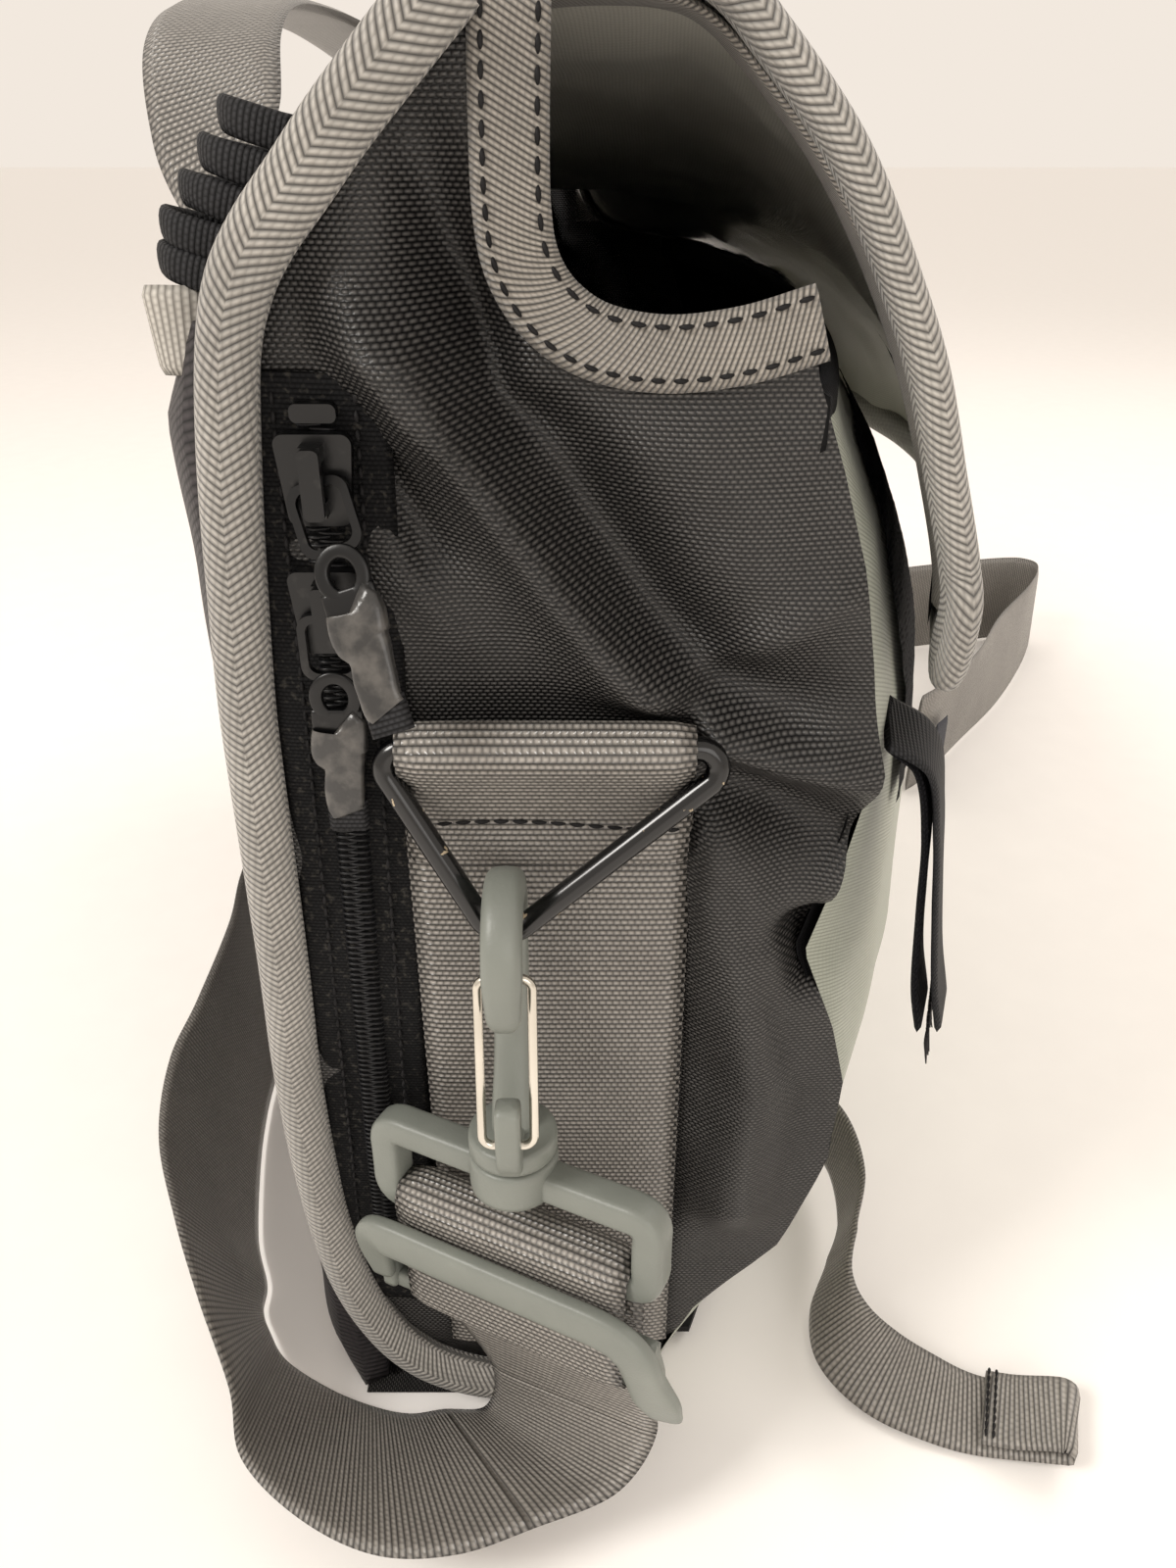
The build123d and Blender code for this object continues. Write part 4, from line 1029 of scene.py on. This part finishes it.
# ---- straps ------------------------------------------------------------------------
def edges_to_line(stations):
    """Line rows from pairs of edge points; the strap keeps its width between them."""
    rows = []
    for first, second in stations:
        first, second = np.array(first, float), np.array(second, float)
        rows.append(np.concatenate([(first + second) / 2, (first - second) / np.linalg.norm(first - second)]))
    return rows


def strap_between(stations, count):
    """Grid and uv of a strap laid between two edge lines; its cross threads fan out where it turns."""
    rows = []
    for first, second in stations:
        first, second = np.array(first, float), np.array(second, float)
        rows.append(np.concatenate([(first + second) / 2, first, second]))
    line = smooth_line(rows, count)
    share = np.linspace(0, 1, WEBBING_STEPS)[None, :, None]
    sheet = line[:, None, 3:6] * (1 - share) + line[:, None, 6:9] * share
    normal = np.cross(np.gradient(sheet, axis=0), np.gradient(sheet, axis=1))
    normal /= np.linalg.norm(normal, axis=2, keepdims=True)
    half = 0.5 * WEBBING_THICK * (1 - np.abs(2 * share - 1) ** 12)
    grid = np.concatenate([sheet + normal * half, (sheet - normal * half)[:, -2:0:-1]], axis=1)
    width = float(np.median(np.linalg.norm(line[:, 3:6] - line[:, 6:9], axis=1)))
    along = np.concatenate([[0], np.cumsum(np.linalg.norm(np.diff(line[:, :3], axis=0), axis=1))])
    u = (share[0, :, 0] - 0.5) * width
    u = np.concatenate([u, u[-2:0:-1]])
    uv = np.stack(np.broadcast_arrays(u[None, :], along[:, None]), axis=2)
    return line, grid, uv


def strap_stretch(name, grid, uv, first, last, body, replaces=()):
    """The part of a strap from one row of its grid to another, closed at both ends."""
    rows, columns = last - first + 1, grid.shape[1]
    faces = grid_faces(rows, columns, close_columns=True)
    faces.append(tuple(range(columns))[::-1])
    faces.append(tuple((rows - 1) * columns + j for j in range(columns)))
    # The hanging and lying strap gets the lighter webbing copy, which is painted light; its end at the slider
    # keeps the plain webbing.
    return build_mesh(name, grid[first:last + 1], faces, uv[first:last + 1], materials["lit_strap_webbing"], body,
                      "webbing", replaces=replaces)


def blend_square(stretch, first, last):
    """Bake a stretch's placement into its mesh; the direction between its two end threads is worked out but
    not used.
    """
    way = np.cross(first[6:9] - first[3:6], last[6:9] - last[3:6])
    way /= np.linalg.norm(way)
    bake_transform(stretch)


def make_strap_lead(end, far):
    """Strap end: folded round the slider, up over the loop's bar and down behind it."""
    front = ((-0.6, 72.4), (-2.6, 66), (-2.7, 60), (-1.2, 55.0), (1.2, 54.2), (3.2, 56.5), (3.6, 62),
             (3.5, 69), (3.9, 75))
    points = [turned(0, d, z) for d, z in front]
    line = smooth_line(rows_of(points, TURNED_X), 70)
    fold = sweep(f"strap_fold_{end}", line, flat_section(WEBBING_WIDTH - 1.5, WEBBING_THICK, WEBBING_STEPS),
                 materials["webbing"], f"slider_{end}", "webbing", far=far)
    crest = ((3.9, 75), (4.3, 79.5), (4.4, 84), (2.9, 86.9), (0, 87.6), (-2.9, 86.9), (-4.4, 84),
             (-4.4, 74), (-4.3, 62))
    points = [turned(0, d, z) for d, z in crest]
    line = smooth_line(rows_of(points, TURNED_X), 70)
    lead = sweep(f"strap_crest_{end}", line, flat_section(WEBBING_WIDTH, WEBBING_THICK, WEBBING_STEPS),
                 materials["webbing"], f"loop_{end}", "webbing", far=far, replaces=[f"strap_lead_{end}"])


def make_shoulder_strap():
    """The long strap: hangs from the near slider, twists, stands round the back and folds in front.

    Each station is a pair of points on the strap's two edges.  The part that hangs is cut into
    stretches; the first goes with the near loop, and those between two bodies of the near end are baked in
    place with no body.
    """
    stations = [(turned(24.5, -4.3, 62), turned(-24.5, -4.3, 62)),
                (turned(24.4, -5.0, 55), turned(-24.4, -5.0, 55)),
                (turned(24.3, -6.4, 46), turned(-24.5, -6.6, 45)),
                ((-208, -14, 34), (-183, 22, 21)),
                ((-213, -6, 22), (-181, 24, 3)),
                ((-219, 11, 20), (-181, 34, 1.6)),
                ((-224, 26, 20), (-182, 42, 1.4)),
                ((-224, 42, 20), (-180, 51, 1.2)),
                ((-218, 58, 22), (-175.5, 62, 1.2)),
                ((-209, 71, 27), (-168, 74, 1.2)),
                ((-197, 76, 32), (-160, 80, 1.2)),
                ((-183, 85, 42), (-154, 83, 1.2)),
                ((-165, 95, 47), (-146, 84, 1.2)),
                ((-141, 106, 49), (-131, 90, 1.2)),
                ((-113, 112, 49), (-104, 96, 1.2)),
                ((-88, 112, 49), (-83, 99, 1.2)),
                ((-50, 113, 49.5), (-50, 102, 1.2)),
                ((-10, 117, 50), (-10, 113, 1.2)),
                ((70, 114, 50), (70, 113, 1.2)),
                ((150, 108, 50), (150, 108, 1.2)),
                ((205, 86, 50), (204, 87, 1.2)),
                ((242, 50, 50), (240, 52, 1.2)),
                ((262, 0, 50), (258, 2, 1.2)),
                ((278, -80, 50), (272, -80, 1.2)),
                ((300, -150, 50), (296, -150, 1.2)),
                ((322, -215, 50), (316, -214, 1.2)),
                ((331, -248, 50), (326, -248, 1.2)),
                ((329, -262, 50), (325, -261, 1.2)),
                ((318, -266, 49), (314, -266, 1.2)),
                ((280, -248, 50), (278, -250, 1.2)),
                ((230, -216, 50), (226, -220, 1.2)),
                ((180, -190, 50), (178, -186, 1.2)),
                ((140, -162, 50), (138, -158, 1.2)),
                ((128, -150, 49), (127, -148, 1.2))]
    line, grid, uv = strap_between(stations, 1000)
    cuts = [0] + [int(np.argmax(line[:, 2] < height)) for height in HANG_HEIGHTS]
    cuts += [int(np.argmax(line[:, 1] > place)) for place in HANG_PLACES_Y]
    chain = ("loop_near", "loop_near", "hook_near", "ring_near", "bag")
    for k, (upper, lower) in enumerate(zip(chain, chain[1:])):
        body = upper if upper == lower else None
        stretch = strap_stretch(f"strap_hang_{k}", grid, uv, cuts[k], cuts[k + 1], body)
        if body is None:
            blend_square(stretch, line[cuts[k]], line[cuts[k + 1]])
    piece = strap_stretch("shoulder_strap_webbing", grid, uv, cuts[-1], len(line) - 1, "bag",
                          ["shoulder_strap"])
    label = ((131.2, -157.6), (136.5, -161.6), (141.6, -165.2))
    rows = rows_of([(x - 1.2, y - 1.6, 21.0) for x, y in label], (0, 0, 1.0))
    tag = sweep("strap_label_tab", smooth_line(rows, 10), flat_section(26, 1.0), materials["label"], "bag",
                "label", replaces=["strap_label"])


def make_tail_strap():
    """Narrow webbing that comes from the front corner, rolls over and ends in a stitched fold."""
    stations = (((-98, -65, 17.5), (0.2, -0.1, 0.98)), ((-115, -70, 18.5), (0.2, -0.2, 0.96)),
                ((-132, -70, 17.5), (0.2, -0.3, 0.93)), ((-146, -65, 15.5), (0.2, -0.4, 0.9)),
                ((-158, -60.5, 13), (0.0, -0.45, 0.9)), ((-168, -62, 10.5), (0.3, -0.55, 0.77)),
                ((-175, -69, 7.5), (0.6, -0.5, 0.6)), ((-179.5, -79, 4.8), (0.85, -0.4, 0.33)),
                ((-183, -91, 2.6), (0.93, -0.35, 0.1)), ((-187, -107.5, 4.6), (0.93, -0.36, 0)))
    line = smooth_line([(*place, *across) for place, across in stations], 200)
    # The tail gets the lighter webbing copy: painted light.
    piece = sweep("tail_webbing", line, flat_section(TAIL_WIDTH, TAIL_THICK), materials["lit_strap_webbing"],
                  "bag", "webbing", replaces=["tail_strap"])
    fold = [((-178, -111, 4.6), (-196, -104, 4.6)), ((-179.5, -114.5, 6.5), (-197.5, -107.5, 6.5)),
            ((-178, -112, 8.6), (-196, -105, 8.6)), ((-175, -102, 5.6), (-193.5, -96, 5.6)),
            ((-172.5, -95.5, 3.9), (-191.2, -89.5, 3.9))]
    # The tail's fold also gets the lighter webbing copy: painted light.
    end = sweep("tail_fold", smooth_line(edges_to_line(fold), 40), flat_section(TAIL_WIDTH, TAIL_THICK),
                materials["lit_strap_webbing"], "bag", "webbing")
    for k, gap in enumerate((0.0, 1.6)):
        row = [(-173.4 - t * 17.2 + gap * 0.3, -98 + t * 6.0 + gap, 5.4) for t in np.linspace(0, 1, 6)]
        stitches(f"tail_stitches_{k}", row, (0, 0, 1.0), "webbing", 1.9, 1.7)


def make_handle():
    """Grab handle: ribbed webbing sewn flat at its ends and arched between them."""
    half_path = ((150, 57.2, 207), (150, 57.3, 222), (149.5, 57.4, 238), (146, 58.2, 253), (137, 60.5, 267),
                 (118, 64.5, 280), (86, 67.5, 288), (44, 68, 291))
    half_across = ((1.0, 0, 0), (1.0, 0, 0), (0.96, 0.2, 0), (0.75, 0.6, 0), (0.35, 0.9, 0), (0.1, 1.0, 0),
                   (0, 1.0, 0), (0, 1.0, 0))
    path = [(-x, y, z) for x, y, z in half_path] + [(0, 68, 292)] + list(half_path[::-1])
    across = list(half_across) + [(0, 1.0, 0)] + [(-x, y, z) for x, y, z in half_across[::-1]]
    line = smooth_line(rows_of(path, across), 320)
    piece = sweep("grab_handle_webbing", line, flat_section(23.5, 2.2), materials["webbing"], "bag",
                  "webbing", replaces=["grab_handle"])


def make_small_trim():
    """Hook-and-loop side tab, gathered elastic and folded tag behind the back binding."""
    for name, finish, gap, drift in (("side_tab_loop", "hook_tape", 0.0, 0.0),
                                     ("side_tab_hook", "black_webbing", 2.0, 1.6)):
        path = ((-176, -50.5, 178), (-176.5, -57 - gap, 172), (-177.5, -59.5 - gap, 160),
                (-179, -60 - gap - drift * 0.5, 146), (-181, -60.5 - gap - drift, 132),
                (-183, -62.0 - gap - drift, 122.5))
        line = smooth_line(rows_of(path, (0.95, -0.3, 0.05)), 60)
        piece = sweep(f"{name}_ply", line, flat_section(19, 1.3), materials[finish], "bag", "hook_tape",
                      replaces=[name])
    strands = []
    count, half_width = 16, 8.6
    for k in range(count):
        a = -half_width + 2 * half_width * k / (count - 1)
        root = np.array((-183, -63.5, 122.8)) + np.array((0.95, -0.3, 0.05)) * a
        drop = 3.0 + 2.4 * (wrinkle((k, 3, 1), 2.3) + 1)
        points = [root, root + (wrinkle((k, 0, 0), 1.7) * 1.5, -0.3, -drop * 0.5),
                  root + (wrinkle((k, 5, 0), 1.7) * 3.0, -0.8, -drop)]
        scales = ((1, 1), (0.9, 0.9), (0.4, 0.4))
        strands.append(sweep(f"fray_{k}", smooth_line(rows_of(points, (1.0, 0, 0), scales), 7),
                             oval_section(0.7, 0.6, 2.0, 6), materials["stitch"], "bag", "hook_tape"))
    join(strands, "side_tab_fray")
    bunches = []
    for k in range(5):
        z = 247.0 + 4.4 * k
        lean = 0.75 * max(0, z - 250)
        points = [(-181.5, 50 - lean, z), (-180.5, 56.2 - lean + wrinkle((k, 0, 0), 1.3), z + 1.8),
                  (-176, 59.4 - lean, z + 2.6), (-170, 58.6 - lean, z + 1.8), (-165.5, 51 - lean, z)]
        bunches.append(sweep(f"elastic_fold_{k}", smooth_line(rows_of(points, (0, 0, 1.0)), 26),
                             oval_section(4.8, 2.2, 2.4, 16), materials["black_webbing"], "bag",
                             "black_webbing", replaces=["back_elastic"] if not k else []))
    join(bunches, "back_elastic_folds")
    points = [(-179.5, 51.5, 240), (-181.6, 56, 240.5), (-180.6, 60.5, 240.5), (-177, 61.0, 240),
              (-174, 55, 239)]
    tag = sweep("back_tag_fold", smooth_line(rows_of(points, (0, 0.1, 1.0)), 26), flat_section(12, 1.4),
                materials["tag_cloth"], "bag", "grosgrain", replaces=["back_tag"])


for end_name, is_far in ENDS:
    make_gusset(end_name, is_far)
    make_binding(end_name, is_far)
    make_gusset_tape(end_name, is_far)
    make_anchor(end_name, is_far)
    make_hook(end_name, is_far)
    make_strap_loop(end_name, is_far)
    make_strap_slider(end_name, is_far)
    make_strap_lead(end_name, is_far)
make_front()
make_back()
make_base()
make_flap()
make_zip()
for puller_name in SLIDER_Z:
    make_puller(puller_name)
make_shoulder_strap()
make_tail_strap()
make_handle()
make_small_trim()

# CAD nodes that stay as they are, and the finish each gets.
CAD_FINISHES = {"triangle_ring_near": "painted_wire", "triangle_ring_far": "painted_wire",
                "wire_gate_near": "bright_wire", "wire_gate_far": "bright_wire",
                "slider_upper": "black_metal", "slider_lower": "black_metal", "bail_upper": "black_metal",
                "bail_lower": "black_metal", "zip_stops": "black_metal"}
for node_name, finish_name in CAD_FINISHES.items():
    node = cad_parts[node_name]
    for material_slot in node.material_slots:
        material_slot.material = materials[finish_name]


# ---- stage, light and camera ----------------------------------------------------------
TABLE_SIZE = 40.0
TABLE_COLOURS = ((251, 248, 245), (253, 250, 247))
ROOM_COLOUR = (255, 245, 234)
ROOM_STRENGTH = 0.89
LAMPS_AIM = (-0.1, 0.0, 0.12)
# Name, place and size in metres, power in watts and colour.
LAMPS = (("key", (-0.75, 0.95, 1.15), (0.45, 0.45), 13.0, (1.0, 0.965, 0.92)),
         ("fill", (-1.5, -0.5, 0.7), (0.8, 0.8), 4.0, (1.0, 0.97, 0.94)),
         ("rim", (0.5, -1.0, 1.2), (0.8, 0.8), 6.0, (1.0, 0.96, 0.92)))
CAMERA_PLACE = (-0.357, 0.0, 0.262)
CAMERA_DOWN = 28
SENSOR_HEIGHT = 36.0
FOCAL_SHARE = 1202 / 1600            # focal length over the height of the frame


def make_stage():
    """Pale table and soft light from above."""
    mesh = bpy.data.meshes.new("table")
    corners = ((-1, -1), (1, -1), (1, 1), (-1, 1))
    mesh.from_pydata([(x * TABLE_SIZE, y * TABLE_SIZE, 0) for x, y in corners], [], [(0, 1, 2, 3)])
    table = bpy.data.objects.new("table", mesh)
    bpy.context.scene.collection.objects.link(table)
    finish = Finish("table", 0.7)
    table.data.materials.append(finish.moulded(*TABLE_COLOURS, 30.0, 0.05))
    world = bpy.data.worlds.new("room")
    bpy.context.scene.world = world
    world.use_nodes = True
    background = world.node_tree.nodes["Background"]
    background.inputs["Color"].default_value = linear(*ROOM_COLOUR)
    background.inputs["Strength"].default_value = ROOM_STRENGTH
    for name, place, span, power, colour in LAMPS:
        light = bpy.data.lights.new(name, "AREA")
        light.shape = "RECTANGLE"
        light.size, light.size_y = span
        light.energy = power
        light.color = colour
        lamp = bpy.data.objects.new(name, light)
        bpy.context.scene.collection.objects.link(lamp)
        lamp.location = place
        aim = Vector(LAMPS_AIM) - Vector(place)
        lamp.rotation_euler = aim.to_track_quat("-Z", "Y").to_euler()


def make_camera():
    """Camera above the near end, looking along the bag and down."""
    lens = bpy.data.cameras.new("camera")
    lens.sensor_fit = "VERTICAL"
    lens.sensor_height = SENSOR_HEIGHT
    lens.lens = SENSOR_HEIGHT * FOCAL_SHARE
    lens.clip_start = 0.01
    camera = bpy.data.objects.new("camera", lens)
    bpy.context.scene.collection.objects.link(camera)
    camera.location = CAMERA_PLACE
    camera.rotation_euler = (radians(90 - CAMERA_DOWN), 0, radians(-90))
    bpy.context.scene.camera = camera
    bpy.context.scene.view_settings.view_transform = "Standard"


make_stage()
make_camera()
